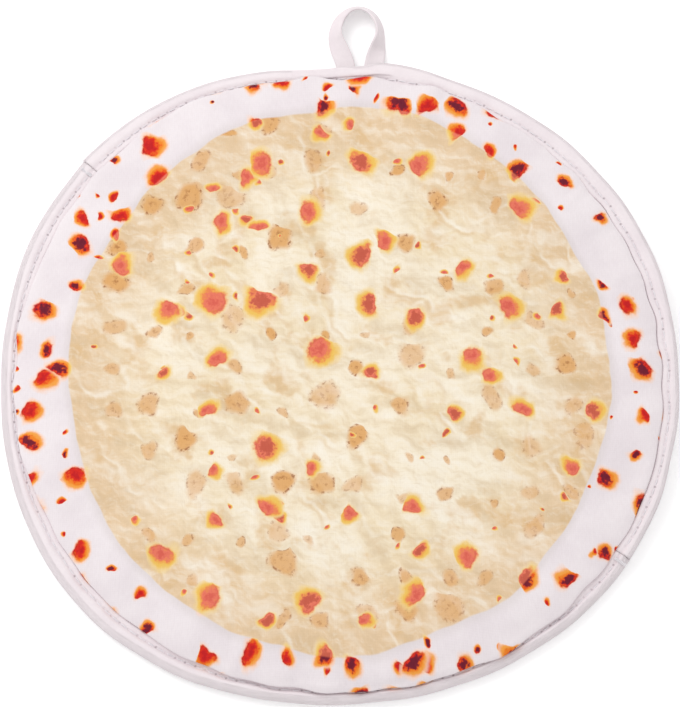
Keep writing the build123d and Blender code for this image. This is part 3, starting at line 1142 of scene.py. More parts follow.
@dataclass
class Finishes:
    """Every material of the pouch, built once, with the record's slot that each one answers to."""

    stitch_pitch: float
    seam_inset: float
    made: dict = field(default_factory=dict)

    def build(self) -> None:
        """Builds the materials."""
        lining = PlainCloth("lining cloth", paint(243, 240, 234), paint(230, 226, 218), 0.7, 0.07 * MM)
        white, grey = paint(243, 234, 236), paint(230, 218, 222)
        finishes = {
            "printed_cloth": PrintedCloth("printed cloth"),
            "back_cloth": PlainCloth("back cloth", paint(244, 238, 242), paint(232, 225, 231)),
            "lining_cloth": lining,
            "edge_tape": TapeFinish("edge tape", white, grey, self.seam_inset, self.stitch_pitch),
            "padding": Batting("padding"),
            "thread": ThreadFinish("sewing thread", paint(250, 247, 249), paint(228, 222, 227)),
        }
        self.made = {slot: finish.material() for slot, finish in finishes.items()}

    def dress(self, piece: Piece, slot: str) -> None:
        """Gives a piece the material of one of the record's slots.

        Args:
            piece: The piece.
            slot: The slot's name.
        """
        piece.data.materials.clear()
        piece.data.materials.append(self.made[slot])


# ---- panels --------------------------------------------------------------------------------------


@dataclass
class Filling:
    """Settles the padded front with a cloth simulation: air pressure under a cover cut a little large.

    The even part of the swelling is already in the pouch's form, so only the unevenness is kept.
    """

    form: PouchForm
    spokes: int = 120
    rings: int = 36
    voxel: float = 5 * MM
    pressure: float = 2.0
    spare_cloth: float = 0.012
    cloth_mass: float = 0.25
    stiffness: float = 0.4
    frames: int = 20
    most: float = 1.3 * MM
    pinned_width: float = 5 * MM
    free_depth: float = 3 * MM
    depth: float = 22 * MM
    look_from: float = 0.2

    def cushion(self) -> Piece:
        """Builds the closed cushion that is swollen, its flat base well below the pouch.

        Returns:
            The cushion.
        """
        form = self.form
        bearing = np.linspace(0, math.tau, self.spokes + 1)[:-1]
        rings, bearings = np.broadcast_arrays(np.linspace(0, 1, self.rings)[:, None], bearing[None, :])
        radius = form.radius(rings, bearings, form.lip(bearings))
        height = form.front_plain(rings, bearings) + form.puff(rings, bearings)
        top, base = (around(radius, bearings, z) for z in (height, np.full_like(height, -self.depth)))
        return make_shell("cushion_form", top, base, top)

    def surface(self, piece: Piece) -> BVHTree:
        """The piece's evaluated surface, for looking up heights."""
        return BVHTree.FromObject(piece, bpy.context.evaluated_depsgraph_get())

    def hold(self, piece: Piece) -> str:
        """Marks the cushion's base and rim, which the cloth simulation leaves where they are.

        Args:
            piece: The cushion.

        Returns:
            The name of the group of held points.
        """
        points = np.array([v.co for v in piece.data.vertices])
        radius = np.hypot(points[:, 0], points[:, 1])
        bearing = np.arctan2(points[:, 0], points[:, 1])
        lip = self.form.lip(bearing)
        plain = self.form.front_plain(np.minimum(radius / lip, 1), bearing)
        held = (radius > lip - self.pinned_width) | (points[:, 2] < plain - self.free_depth)
        group = piece.vertex_groups.new(name="held")
        group.add(np.nonzero(held)[0].tolist(), 1.0, "REPLACE")
        return group.name

    def settle(self, rings: Array, bearings: Array) -> Array:
        """Runs the simulation.

        Args:
            rings: The rings of the places to read.
            bearings: Their bearings.

        Returns:
            How much further than its ring each place moved up or down.
        """
        piece = self.cushion()
        remesh = piece.modifiers.new("remesh", "REMESH")
        remesh.mode = "VOXEL"
        remesh.voxel_size = self.voxel
        bpy.context.view_layer.objects.active = piece
        bpy.ops.object.modifier_apply(modifier=remesh.name)
        held = self.hold(piece)
        finer = piece.modifiers.new("finer", "SUBSURF")
        finer.levels = 1
        before = self.surface(piece)
        cloth = piece.modifiers.new("cloth", "CLOTH")
        piece.modifiers.move(1, 0)
        settings = cloth.settings
        settings.quality = 6
        settings.mass = self.cloth_mass
        settings.bending_stiffness = self.stiffness
        settings.vertex_group_mass = held
        settings.use_pressure = True
        settings.uniform_pressure_force = self.pressure
        settings.shrink_min = -self.spare_cloth
        settings.effector_weights.gravity = 0
        scene = bpy.context.scene
        for frame in range(1, self.frames + 1):
            scene.frame_set(frame)
        moved = self.difference(before, self.surface(piece), rings, bearings)
        scene.frame_set(1)
        bpy.data.objects.remove(piece)
        uneven = moved - moved.mean(axis=1, keepdims=True)
        return np.clip(uneven, -self.most, self.most)

    def difference(self, before: BVHTree, after: BVHTree, rings: Array, bearings: Array) -> Array:
        """Reads how far the surface moved at each place.

        Args:
            before: The surface at the start.
            after: The surface at the end.
            rings: The places' rings.
            bearings: The places' bearings.

        Returns:
            The height change of each place.
        """
        radius = self.form.radius(np.minimum(rings, 0.999), bearings, self.form.lip(bearings))
        starts = around(radius, bearings, np.full_like(radius, self.look_from))
        moved = np.zeros(radius.shape)
        for spot in np.ndindex(radius.shape):
            start = Vector(starts[spot])
            first, second = (surface.ray_cast(start, Vector((0, 0, -1)))[0] for surface in (before, after))
            if first is not None and second is not None:
                moved[spot] = second.z - first.z
        return moved * (1 - smooth(0.955, 0.99, rings))


@dataclass(frozen=True)
class Role:
    """What a piece is: its finish, the nodes that it replaces, and where it bends if it does."""

    slot: str
    nodes: tuple
    bend: Bend | None = None


@dataclass
class Assembly(ABC):
    """A sub-assembly of the pouch, with the pieces that it has made."""

    form: PouchForm
    pieces: dict = field(default_factory=dict, init=False)

    def keep(self, key: object, piece: Piece) -> None:
        """Keeps a piece that has been made, and reports it."""
        self.pieces[key] = piece
        log.info("%s: %d points", piece.name, len(piece.data.vertices))

    @abstractmethod
    def build(self) -> None:
        """Builds the pieces."""

    @abstractmethod
    def role(self, key: object) -> Role:
        """What one of the pieces is."""

    def dress(self, finishes: Finishes) -> None:
        """Gives the pieces their finishes and hides the frame's nodes that they replace. A piece that does
        not bend is attached to the pouch's body. A piece that bends gets no body and has its place baked into
        its mesh.

        Args:
            finishes: The pouch's materials.
        """
        for key, piece in self.pieces.items():
            role = self.role(key)
            finishes.dress(piece, role.slot)
            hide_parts(*role.nodes)
            if role.bend is None:
                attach(piece, "pouch")
            else:
                role.bend.body
                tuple(role.bend.start)
                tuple(role.bend.end)
                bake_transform(piece)


@dataclass
class Panel(Assembly):
    """A round padded panel: a cover, the padding and a lining, all on one grid of rings and spokes.

    The rings lie close together near the seam and wider off it, at so many millimetres in from it as the
    two lists say, and further apart in the middle.
    """

    kind: str = "plain"
    cover_slot: str = "back_cloth"
    halves: tuple = ("rear_",)
    fill: float = 0.35
    spokes: int = 480
    near_seam: tuple = (0.3, 0.6, 0.85, 1.1, 1.4, 1.7, 2)
    off_seam: tuple = (2.35, 2.8, 3.4, 4.2, 5.3, 7, 9.2, 12, 15, 18.5, 22.5, 27)
    under_tape: tuple = (1.0, 1.2, 1.45, 1.7, 1.85, 2.0)
    coarse_step: float = 4.5 * MM
    gap: float = 0.12 * MM
    cover_thickness: float = 0.6 * MM
    lining_thickness: float = 0.5 * MM

    def grid(self) -> tuple[Array, Array]:
        """The ring and the bearing of each point.

        Returns:
            The rings and the bearings, as rings by spokes.
        """
        inner = self.form.inner_radius
        beside = inner - np.array(self.near_seam + self.off_seam)[::-1] * MM
        middle = np.linspace(0, beside[0], int(beside[0] / self.coarse_step) + 1)[:-1]
        rings = np.concatenate([middle / inner, beside / inner, self.under_tape])
        bearing = np.linspace(0, math.tau, self.spokes + 1)[:-1]
        return np.broadcast_arrays(rings[:, None], bearing[None, :])

    @abstractmethod
    def layer_faces(self, layer: Layer) -> tuple[Array, Array, Array]:
        """The points of one layer's upper and lower face, and the cloth places."""

    def build(self) -> None:
        """Builds the three layers."""
        for layer in Layer:
            self.keep(layer, make_shell(f"{self.kind}_{layer.value}", *self.layer_faces(layer)))

    def role(self, key: Layer) -> Role:
        """What one of the layers is: every layer of a panel bends in the same place, or none does."""
        slots = {Layer.COVER: self.cover_slot, Layer.PADDING: "padding", Layer.LINING: "lining_cloth"}
        return Role(slots[key], tuple(half + NODE_WORDS[key] for half in self.halves), self.bend())

    def bend(self) -> Bend | None:
        """Where the panel bends, if it does."""
        return None

    def dress(self, finishes: Finishes) -> None:
        """Gives the layers their finishes as any sub-assembly does. The raw edges lie inside the folded tape,
        and the form already cuts the sheets less wide than the rim.

        Args:
            finishes: The pouch's materials.
        """
        super().dress(finishes)


@dataclass(frozen=True)
class Tucks:
    """A run of small puckers between two bearings, in degrees, and how strong they are."""

    low: float
    high: float
    count: int
    strong: float


@dataclass(frozen=True)
class Crease:
    """A long crease in the cover: where it is strong, how far in from the seam it runs, and its wave."""

    where: Hump
    inside: float
    seed: int


@dataclass
class FrontPanel(Panel):
    """The printed front panel. It bends along the fold, so each layer is one piece of cloth."""

    kind: str = "printed"
    cover_slot: str = "printed_cloth"
    halves: tuple = ("front_", "flap_")
    read_every: int = 4
    tuck_depth: float = 1.05 * MM
    tuck_length: float = 17 * MM
    tuck_runs: tuple = (
        Tucks(18, 88, 12, 1.35),
        Tucks(112, 148, 6, 1.1),
        Tucks(158, 215, 8, 0.9),
        Tucks(-150, -20, 8, 0.5),
    )
    crease_depth: float = 0.7 * MM
    crease_wave: float = 1.5 * MM
    crease_width: float = 1.3 * MM
    creases: tuple = (
        Crease(Hump(1, 172, 24), 5.2 * MM, 3),
        Crease(Hump(1, 193, 15), 8.4 * MM, 9),
        Crease(Hump(1, 158, 12), 7.6 * MM, 15),
    )
    rim_wave: float = 0.35 * MM
    follow: float = 0.75
    moved: Array | None = None

    def tucks(self, rings: Array, bearings: Array) -> Array:
        """Small puckers and creases beside the seam, where it has gathered the cover.

        Args:
            rings: The places' rings.
            bearings: The places' bearings.

        Returns:
            How far each place is pulled down or pushed up.
        """
        dice = random.Random(23)
        inside = self.form.inside(rings)
        narrow = (1.0 + 0.10 * inside / MM) * MM
        total = np.zeros(rings.shape)
        for run in self.tuck_runs:
            for _ in range(run.count):
                bearing = math.radians(dice.uniform(run.low, run.high))
                lean = dice.uniform(-0.5, 0.5)
                length = self.tuck_length * dice.uniform(0.5, 1.25)
                depth = self.tuck_depth * dice.uniform(0.45, 1.0) * run.strong
                across = turn_between(bearings, bearing) * self.form.inner_radius - lean * inside
                valley, shoulders = (np.exp(-((across / (wide * narrow)) ** 2)) for wide in (1.0, 2.6))
                along = smooth(0, 2.5 * MM, inside) * (1 - smooth(0.35 * length, length, inside))
                total -= depth * (valley - 0.55 * shoulders) * along
        for crease in self.creases:
            away = inside - crease.inside - self.crease_wave * ripple(bearings, crease.seed, 5, 22)
            groove = np.exp(-((away / self.crease_width) ** 2))
            total -= self.crease_depth * crease.where.at(bearings) * groove
        return total

    def layer_faces(self, layer: Layer) -> tuple[Array, Array, Array]:
        """The points of one layer's upper and lower face.

        Args:
            layer: Which layer.

        Returns:
            The upper points, the lower points and the cloth places.
        """
        rings, bearings = self.grid()
        form = self.form
        radius = form.radius(rings, bearings, form.lip(bearings))
        plain = form.front_plain(rings, bearings)
        soft = self.moved if self.moved is not None else np.zeros(rings.shape)
        near_rim = smooth(0.55, 0.9, rings) * (1 - smooth(0.985, 1, rings))
        soft = soft + self.rim_wave * ripple(bearings, 31, 7, 19) * near_rim
        top = plain + form.puff(rings, bearings) + soft + self.tucks(rings, bearings)
        top = top - form.sunk(form.out_from_lip(rings, bearings), bearings)
        lining_under = plain - form.thickness(rings) + 0.5 * soft
        lining_top = lining_under + self.lining_thickness
        rolled = radius + form.roll_out(rings, bearings)
        lean_out, lean_up = (self.cover_thickness * part for part in self.outward_of(rolled, top))
        below_cover = plain + self.follow * (top - plain) - self.cover_thickness - self.gap
        pad_top = np.maximum(below_cover, lining_top + 3 * self.gap)
        faces = {
            Layer.COVER: ((rolled, top), (rolled - lean_out, top - lean_up)),
            Layer.PADDING: ((radius, pad_top), (radius, lining_top + self.gap)),
            Layer.LINING: ((radius, lining_top), (radius, lining_under)),
        }
        upper, lower = (around(r, bearings, z) for r, z in faces[layer])
        return upper, lower, around(radius, bearings, np.zeros_like(radius))

    @staticmethod
    def outward_of(radius: Array, height: Array) -> tuple[Array, Array]:
        """The direction off the cover's outer face, seen in a slice from the middle to the rim.

        Args:
            radius: The face's radii, ring by ring.
            height: Its heights.

        Returns:
            The outward and the upward part of the direction.
        """
        along, up = np.gradient(radius, axis=0), np.gradient(height, axis=0)
        length = np.hypot(along, up) + 1e-12
        return -up / length, along / length

    def build(self) -> None:
        """Settles the filling, then builds the three layers."""
        rings, bearings = (values[:, :: self.read_every] for values in self.grid())
        found = Filling(self.form).settle(rings, bearings)
        log.info("filling: moved the cover from %.1f to %.1f mm", found.min() / MM, found.max() / MM)
        self.moved = np.stack([self.round_again(row) for row in found])
        super().build()

    def round_again(self, row: Array) -> Array:
        """Spreads a ring's readings over all the spokes."""
        places = np.arange(self.spokes) / (self.spokes / len(row))
        return np.interp(places, np.arange(len(row) + 1), np.append(row, row[0]))

    def bend(self) -> Bend:
        """Where the panel bends: at the fold."""
        return self.form.fold.bend


@dataclass
class BackPanel(Panel):
    """The plain back panel, which lies flat on the table."""

    spokes: int = 360
    coarse_step: float = 6 * MM
    unevenness: float = 0.3 * MM

    def layer_faces(self, layer: Layer) -> tuple[Array, Array, Array]:
        """The points of one layer's upper and lower face.

        Args:
            layer: Which layer.

        Returns:
            The upper points, the lower points and the cloth places.
        """
        rings, bearings = self.grid()
        radius = self.form.radius(rings, bearings, self.form.back_lip(bearings))
        cover_top = self.form.back_under(rings) + self.cover_thickness
        floor = np.full(rings.shape, self.form.floor_of_pocket)
        wave = self.unevenness * ripple(bearings, 43, 3, 9) * np.sin(rings * 9.0) * smooth(1.0, 0.85, rings)
        faces = {
            Layer.COVER: (cover_top, cover_top - self.cover_thickness),
            Layer.PADDING: (floor - self.lining_thickness - 3 * self.gap, cover_top + self.gap),
            Layer.LINING: (floor + wave, floor + wave - self.lining_thickness),
        }
        upper, lower = (around(radius, bearings, z) for z in faces[layer])
        return upper, lower, around(radius, bearings, np.zeros_like(radius))


# ---- edge tape -----------------------------------------------------------------------------------


@dataclass
class TapeRun:
    """One run of folded tape round an edge, from one bearing to another."""

    form: PouchForm
    start: float
    end: float
    lip: Curve
    back_lip: Curve
    top: Curve
    under: Curve
    bulge: Curve | None = None
    over_front: bool = True
    step: float = 1.25 * MM
    nose: float = 3.2 * MM
    groove: float = 0.38 * MM
    groove_reach: float = 0.9 * MM
    cushion: float = 0.3 * MM
    pucker: float = 0.1 * MM
    pucker_reach: float = 1.7 * MM
    unevenness: float = 0.12 * MM
    edge_wave: float = 0.25 * MM
    fold_back: float = 0.22 * MM
    clear: float = 0.04 * MM
    past_edge: float = 0.08 * MM
    corner_in: float = 0.4 * MM
    corner_up: float = 0.3 * MM
    sinks_from: float = 3.4 * MM
    stitch_pitch: float = 5 * MM

    def bearings(self) -> Array:
        """The bearings of the sections."""
        count = int((self.end - self.start) * self.form.rim_radius / self.step) + 1
        return np.linspace(self.start, self.end, count + 1)

    def relief(self, inward: Array, width: Array, bearing: Array) -> Array:
        """How the seam shapes the tape's face: a groove, a soft swelling outside it and small puckers.

        Args:
            inward: The distance from the tape's inner edge.
            width: The tape's width on this face.
            bearing: The bearing of each place.

        Returns:
            The height of each place over the plain face.
        """
        seam = self.form.seam_inset
        reaches = (self.groove_reach, self.pucker_reach)
        pulled, drawn = (np.exp(-(((inward - seam) / reach) ** 2)) for reach in reaches)
        outside = np.clip((inward - seam) / np.maximum(width - seam - self.nose, 0.5 * MM), 0, 1)
        gathered = drawn * np.cos(math.tau * bearing * self.form.rim_radius / self.stitch_pitch)
        uneven = self.unevenness * ripple(bearing, 71, 30, 80) * smooth(0, seam, inward)
        swollen = self.cushion * np.sin(math.pi * outside) ** 2
        return swollen - self.groove * pulled + self.pucker * gathered + uneven

    def depth(self, inward: Array, bearing: Array, side: Side) -> Array:
        """How far the tape's face sinks with the seam that it covers.

        Args:
            inward: The distance from the tape's inner edge.
            bearing: The bearing of each place.
            side: Which face. Only the upper one sinks, and only over the front panel.

        Returns:
            The depth of each place.
        """
        if side is Side.UNDER or not self.over_front:
            return np.zeros_like(inward)
        return self.form.sunk(inward, bearing)

    def part(self) -> Part:
        """Builds the run: at each bearing the upper face, the nose, the lower face and the hollow inside.

        Returns:
            Its points, its faces and its cloth places.
        """
        form, bearing = self.form, self.bearings()
        outer = form.outline.reach(bearing) + self.edge_wave * ripple(bearing, 3, 9, 33)
        if self.bulge is not None:
            outer = outer + self.bulge(bearing)
        nil = np.zeros_like(outer)
        lips = {Side.UPPER: self.lip(bearing), Side.UNDER: self.back_lip(bearing)}
        levels = {Side.UPPER: self.top(bearing), Side.UNDER: self.under(bearing)}
        middle = (levels[Side.UPPER] + levels[Side.UNDER]) / 2
        half = (levels[Side.UPPER] - levels[Side.UNDER]) / 2
        faces = {}
        for side, stops in ((Side.UPPER, np.linspace(0.0, 1.0, 13)), (Side.UNDER, np.linspace(1.0, 0.0, 10))):
            width = outer - lips[side]
            faces[side] = []
            for inward in (stop * (width - self.nose) for stop in stops):
                relief = self.relief(inward, width, bearing) - self.depth(inward, bearing, side)
                faces[side].append((lips[side] + inward, levels[side] + side.value * relief, inward))
        nose = [
            (outer - self.nose + self.nose * math.cos(a), middle + half * math.sin(a), nil + a)
            for a in np.radians(np.linspace(90, -90, 11)[1:-1])
        ]
        hollow = self.hollow(lips, levels, bearing)
        rows = faces[Side.UPPER] + nose + faces[Side.UNDER] + [(r, z, nil) for r, z in hollow]
        radius, height, inward = (np.stack(column, 1) for column in zip(*rows))
        points = around(radius, bearing[:, None], height).reshape(-1, 3)
        along = np.broadcast_to(bearing[:, None] * form.rim_radius, radius.shape)
        return points, sweep_faces(len(bearing), len(rows)), tape_place(along, inward)

    def hollow(self, lips: dict, levels: dict, bearing: Array) -> list:
        """The tape's inner side: both folded edges, and the hollow that takes the panels' raw edge.

        Args:
            lips: The radius of the inner edge of each face.
            levels: The height of each face.
            bearing: The bearing of each section.

        Returns:
            Pairs of a radius and a height, from the lower face round to the upper one.
        """
        thick = self.form.tape_thickness
        edge = self.form.edge(bearing) + self.past_edge
        low, high = (levels[s] - s.value * (thick - self.clear) for s in (Side.UNDER, Side.UPPER))
        sunk = self.depth(np.zeros_like(edge), bearing, Side.UPPER)
        return [
            (lips[Side.UNDER] - self.fold_back, levels[Side.UNDER] + thick * 0.5),
            (lips[Side.UNDER], low),
            (edge - self.corner_in, low),
            (edge, low + self.corner_up),
            (edge, high - self.corner_up),
            (edge - self.corner_in, high),
            (lips[Side.UPPER] + self.sinks_from, high - 0.5 * sunk),
            (lips[Side.UPPER], high - sunk),
            (lips[Side.UPPER] - self.fold_back, levels[Side.UPPER] - thick * 0.5 - sunk),
        ]


@dataclass(frozen=True)
class StitchRow:
    """A row of separate stitches along a seam."""

    pitch: float = 5 * MM
    length: float = 3.7 * MM
    radius: float = 0.27 * MM
    sink: float = 0.34 * MM
    rings: int = 7
    sides: int = 6

    def part(self, middles: Array, ways: Array, ups: Array) -> Part:
        """Builds the stitches.

        Args:
            middles: The middle of each stitch, on the cloth.
            ways: The direction each one runs.
            ups: The direction each one stands off the cloth.

        Returns:
            Its points, its faces and its cloth places.
        """
        points, faces, places = [], [], []
        turns = np.linspace(0, math.tau, self.sides + 1)[:-1]
        for number, (middle, way, up) in enumerate(zip(middles, ways, ups)):
            wide = np.cross(way, up)
            faces += sweep_faces(self.rings, self.sides, len(points))
            for share in np.linspace(-1, 1, self.rings):
                bulk = self.radius * (1 - 0.55 * share**4)
                run = share * self.length / 2
                spine = middle + way * run + up * (0.5 * self.radius - self.sink * share**4)
                for turn in turns:
                    points.append(spine + wide * (bulk * math.cos(turn)) + up * (bulk * math.sin(turn)))
                    places.append((number * self.pitch + run, turn * self.radius, 0.0))
        return np.array(points), faces, np.array(places)


@dataclass(frozen=True)
class StitchBar:
    """A bar of close stitching: threads side by side."""

    length: float = 5.6 * MM
    threads: int = 10
    thread: StitchRow = StitchRow(length=1.76 * MM, radius=0.3 * MM, sink=0.25 * MM)

    def part(self, middle: Vector, outward: Vector, up: Vector) -> Part:
        """Builds the bar.

        Args:
            middle: The bar's middle, on the tape.
            outward: The way the bar runs.
            up: Off the tape.

        Returns:
            Its points, its faces and its cloth places.
        """
        spots = np.linspace(-0.5, 0.5, self.threads)[:, None] * self.length
        ways, ups = (np.tile(np.array(way), (self.threads, 1)) for way in (outward.cross(up), up))
        return self.thread.part(np.array(middle) + spots * np.array(outward), ways, ups)


@dataclass(frozen=True)
class Lap:
    """Where the tape's two ends lap, beside the hanging loop. Bearings and reaches are in degrees.

    The upper end is a thin wedge that lies slantwise over the lower one, from a share near to a share far
    of the tape's width.
    """

    swelling: float = 2.2 * MM
    swells: tuple = (4.5, 8.0)
    fades: tuple = (11.0, 22.0)
    thickness: float = 0.6 * MM
    under: float = 0.25 * MM
    root: float = 0.8
    tip: float = 10.5
    starts_before: float = 9.0
    near: float = 0.38
    far: float = 0.97
    side_slope: float = 0.03

    def bulge(self, bearing: Array) -> Array:
        """How far the tape stands out where its ends lap."""
        degrees = np.degrees(bearing)
        return self.swelling * smooth(*self.swells, degrees) * (1 - smooth(*self.fades, degrees))

    def part(self, form: PouchForm, run: TapeRun) -> Part:
        """Builds the upper end.

        Args:
            form: The pouch's form.
            run: The run of tape that it lies on.

        Returns:
            Its points, its faces and its cloth places.
        """
        grid = np.linspace(self.near, self.far, 24), np.linspace(0, 1, 60)
        across, along = np.meshgrid(*grid, indexing="ij")
        reached = (self.far - across) / (self.far - self.near)
        tip = np.radians(self.root + (self.tip - self.root) * reached)
        first = math.radians(self.root - self.starts_before)
        bearing = first + (tip - first) * along
        lip = form.lip(bearing)
        width = form.outline.reach(bearing) + self.bulge(bearing) - lip
        inward = across * width
        flat = width - run.nose
        nose = np.clip((inward - flat) / run.nose, 0, 1)
        drop = (1 - np.sqrt(1 - nose**2)) * (form.rim_stack + 2 * form.tape_thickness) / 2
        side = smooth(0, 1, np.minimum(across - self.near, self.far - across) / self.side_slope)
        raised = self.thickness * smooth(0, 0.5, along) * smooth(1.0, 0.985, along) * side
        face = form.tape_height(bearing.ravel()).reshape(bearing.shape) - drop
        face = face + run.relief(np.minimum(inward, flat), width, bearing)
        grids = [around(lip + inward, bearing, z).reshape(-1, 3) for z in (face + raised, face - self.under)]
        place = tape_place(bearing * form.rim_radius, inward)
        return np.vstack(grids), self.faces(*bearing.shape), np.vstack([place, place])

    @staticmethod
    def faces(rows: int, columns: int) -> list:
        """The faces of a thin slab between two grids of points.

        Args:
            rows: How many rows each grid has.
            columns: How many points a row has.

        Returns:
            The faces, as tuples of point numbers.
        """
        faces, count = [], rows * columns
        for i in range(rows - 1):
            for a in range(i * columns, i * columns + columns - 1):
                faces.append((a, a + 1, a + columns + 1, a + columns))
                faces.append((count + a, count + a + columns, count + a + columns + 1, count + a + 1))
        numbers = np.arange(count).reshape(rows, columns)
        sides = (numbers[0], numbers[1:, -1], numbers[-1, -2::-1], numbers[-2:0:-1, 0])
        border = np.concatenate(sides).tolist()
        return faces + [(a, b, count + b, count + a) for a, b in zip(border, border[1:] + border[:1])]


@dataclass
class EdgeTape(Assembly):
    """The edge tape all round the pouch, its seams and the bars of close stitching at the mouth's ends."""

    back_overlap: float = math.radians(0.5)
    mouth_gap: float = 0.3 * MM
    thin_nose: float = 1.9 * MM
    thread_depth: float = 0.3 * MM
    look_ahead: float = 0.004
    bar_start: float = 1.6 * MM
    bar_setback: float = 3 * MM
    bar: StitchBar = StitchBar()
    lap: Lap = Lap()
    row: StitchRow = StitchRow()

    def mouth_under(self, bearing: Array) -> Array:
        """The underside of the tape on the front panel's free edge."""
        return self.form.tape_height(bearing) - self.form.rim_stack - 2 * self.form.tape_thickness

    def seam_height(self, bearing: Array) -> Array:
        """The height of the tape's upper face at the seam."""
        away = np.full_like(bearing, self.form.seam_inset)
        return self.form.tape_height(bearing) - self.form.sunk(away, bearing)

    def closed_run(self, left: float, right: float) -> TapeRun:
        """The tape where it wraps both panels, from the mouth's right end round to its left end."""
        form, under = self.form, self.form.level(self.form.tape_under)
        return TapeRun(form, right, left + math.tau, form.lip, form.back_lip, form.tape_height, under)

    def back_run(self, left: float, right: float) -> TapeRun:
        """The tape where it wraps the back panel alone, inside the mouth.

        Args:
            left: The bearing of the mouth's left end.
            right: The bearing of its right end.

        Returns:
            The run.
        """
        form = self.form
        ends = left - self.back_overlap, right + self.back_overlap
        lips = form.back_lip, form.back_lip
        levels = form.level(form.tape_on_back), form.level(form.tape_under)
        return TapeRun(form, *ends, *lips, *levels, over_front=False, nose=self.thin_nose)

    def mouth_run(self, left: float, right: float) -> TapeRun:
        """The tape on the front panel's free edge.

        Args:
            left: The bearing of the mouth's left end.
            right: The bearing of its right end.

        Returns:
            The run.
        """
        form, gap = self.form, self.mouth_gap / self.form.rim_radius
        curves = form.lip, form.lip, form.tape_height, self.mouth_under
        return TapeRun(form, left + gap, right - gap, *curves, bulge=self.lap.bulge, nose=self.thin_nose)

    def seam_part(self, start: float, end: float, radius: Curve, height: Curve, side: Side) -> Part:
        """A row of stitches on one face of the tape.

        Args:
            start: The first bearing.
            end: The last bearing.
            radius: Gives the seam's radius at a bearing.
            height: Gives the face's height at a bearing.
            side: Which face it is.

        Returns:
            Its points, its faces and its cloth places.
        """
        turn = self.row.pitch / self.form.rim_radius
        bearing = (np.arange(math.ceil(start / turn + 0.4), math.floor(end / turn - 0.4)) + 0.5) * turn
        down = side.value * self.thread_depth
        middles, onward = (
            around(radius(at), at, height(at) - down) for at in (bearing, bearing + self.look_ahead)
        )
        ways = onward - middles
        ways /= np.linalg.norm(ways, axis=1)[:, None]
        return self.row.part(middles, ways, np.tile((0.0, 0.0, side.value), (len(bearing), 1)))

    def mouth_bar(self, bearing: float) -> Part:
        """The bar at one end of the mouth, on the tape that wraps both panels.

        Args:
            bearing: Where it is.

        Returns:
            Its points, its faces and its cloth places.
        """
        form, at = self.form, np.array([bearing])
        width, height = float(form.tape_shown(at)[0]), float(form.tape_height(at)[0])
        start = form.outline.reach_at(bearing) - width + self.bar_start
        outward, up = Vector((math.sin(bearing), math.cos(bearing), 0)), Vector((0, 0, 1))
        return self.bar.part(outward * (start + self.bar.length / 2) + up * height, outward, up)

    def build(self) -> None:
        """Builds the tape, its seams and the bars."""
        form = self.form
        left, right = form.fold.end_bearings(form.rim_radius)
        closed, back, mouth = (run(left, right) for run in (self.closed_run, self.back_run, self.mouth_run))
        full_turn = math.tau - self.row.pitch / form.rim_radius
        tape_under, on_back = form.level(form.tape_under), form.level(form.tape_on_back)
        setback = self.bar_setback / form.rim_radius
        seams = {
            "rim_stitches_front": (right, left + math.tau, form.seam, self.seam_height, Side.UPPER),
            "rim_stitches_back": (0, full_turn, form.back_seam, tape_under, Side.UNDER),
            "pocket_stitches": (left, right, form.back_seam, on_back, Side.UPPER),
            "mouth_stitches_front": (left, right, form.seam, self.seam_height, Side.UPPER),
            "mouth_stitches_back": (left, right, form.seam, self.mouth_under, Side.UNDER),
        }
        parts = {
            "rim_tape": [closed.part(), back.part()],
            "mouth_tape": [mouth.part(), self.lap.part(form, mouth)],
            **{name: [self.seam_part(*seam)] for name, seam in seams.items()},
            "mouth_bar_left": [self.mouth_bar(left - setback)],
            "mouth_bar_right": [self.mouth_bar(right + setback)],
        }
        for name, closed_parts in parts.items():
            self.keep(name, join_parts(name, closed_parts))

    def role(self, key: str) -> Role:
        """What one of the pieces is.

        Args:
            key: The piece's name.

        Returns:
            Its role. What lies on the front panel's free edge bends with it.
        """
        stands_for = {
            "rim_tape": "rim_binding",
            "mouth_tape": "mouth_binding",
            "rim_stitches_front": "rim_thread_front",
            "rim_stitches_back": "rim_thread_back",
            "pocket_stitches": "pocket_thread",
            "mouth_stitches_front": "mouth_thread_front",
            "mouth_stitches_back": "mouth_thread_back",
            "mouth_bar_left": "mouth_tack_left",
            "mouth_bar_right": "mouth_tack_right",
        }
        bends = key.startswith("mouth_") and "bar" not in key
        slot = "edge_tape" if key.endswith("tape") else "thread"
        return Role(slot, (stands_for[key],), self.form.fold.bend if bends else None)


# ---- hanging loop --------------------------------------------------------------------------------


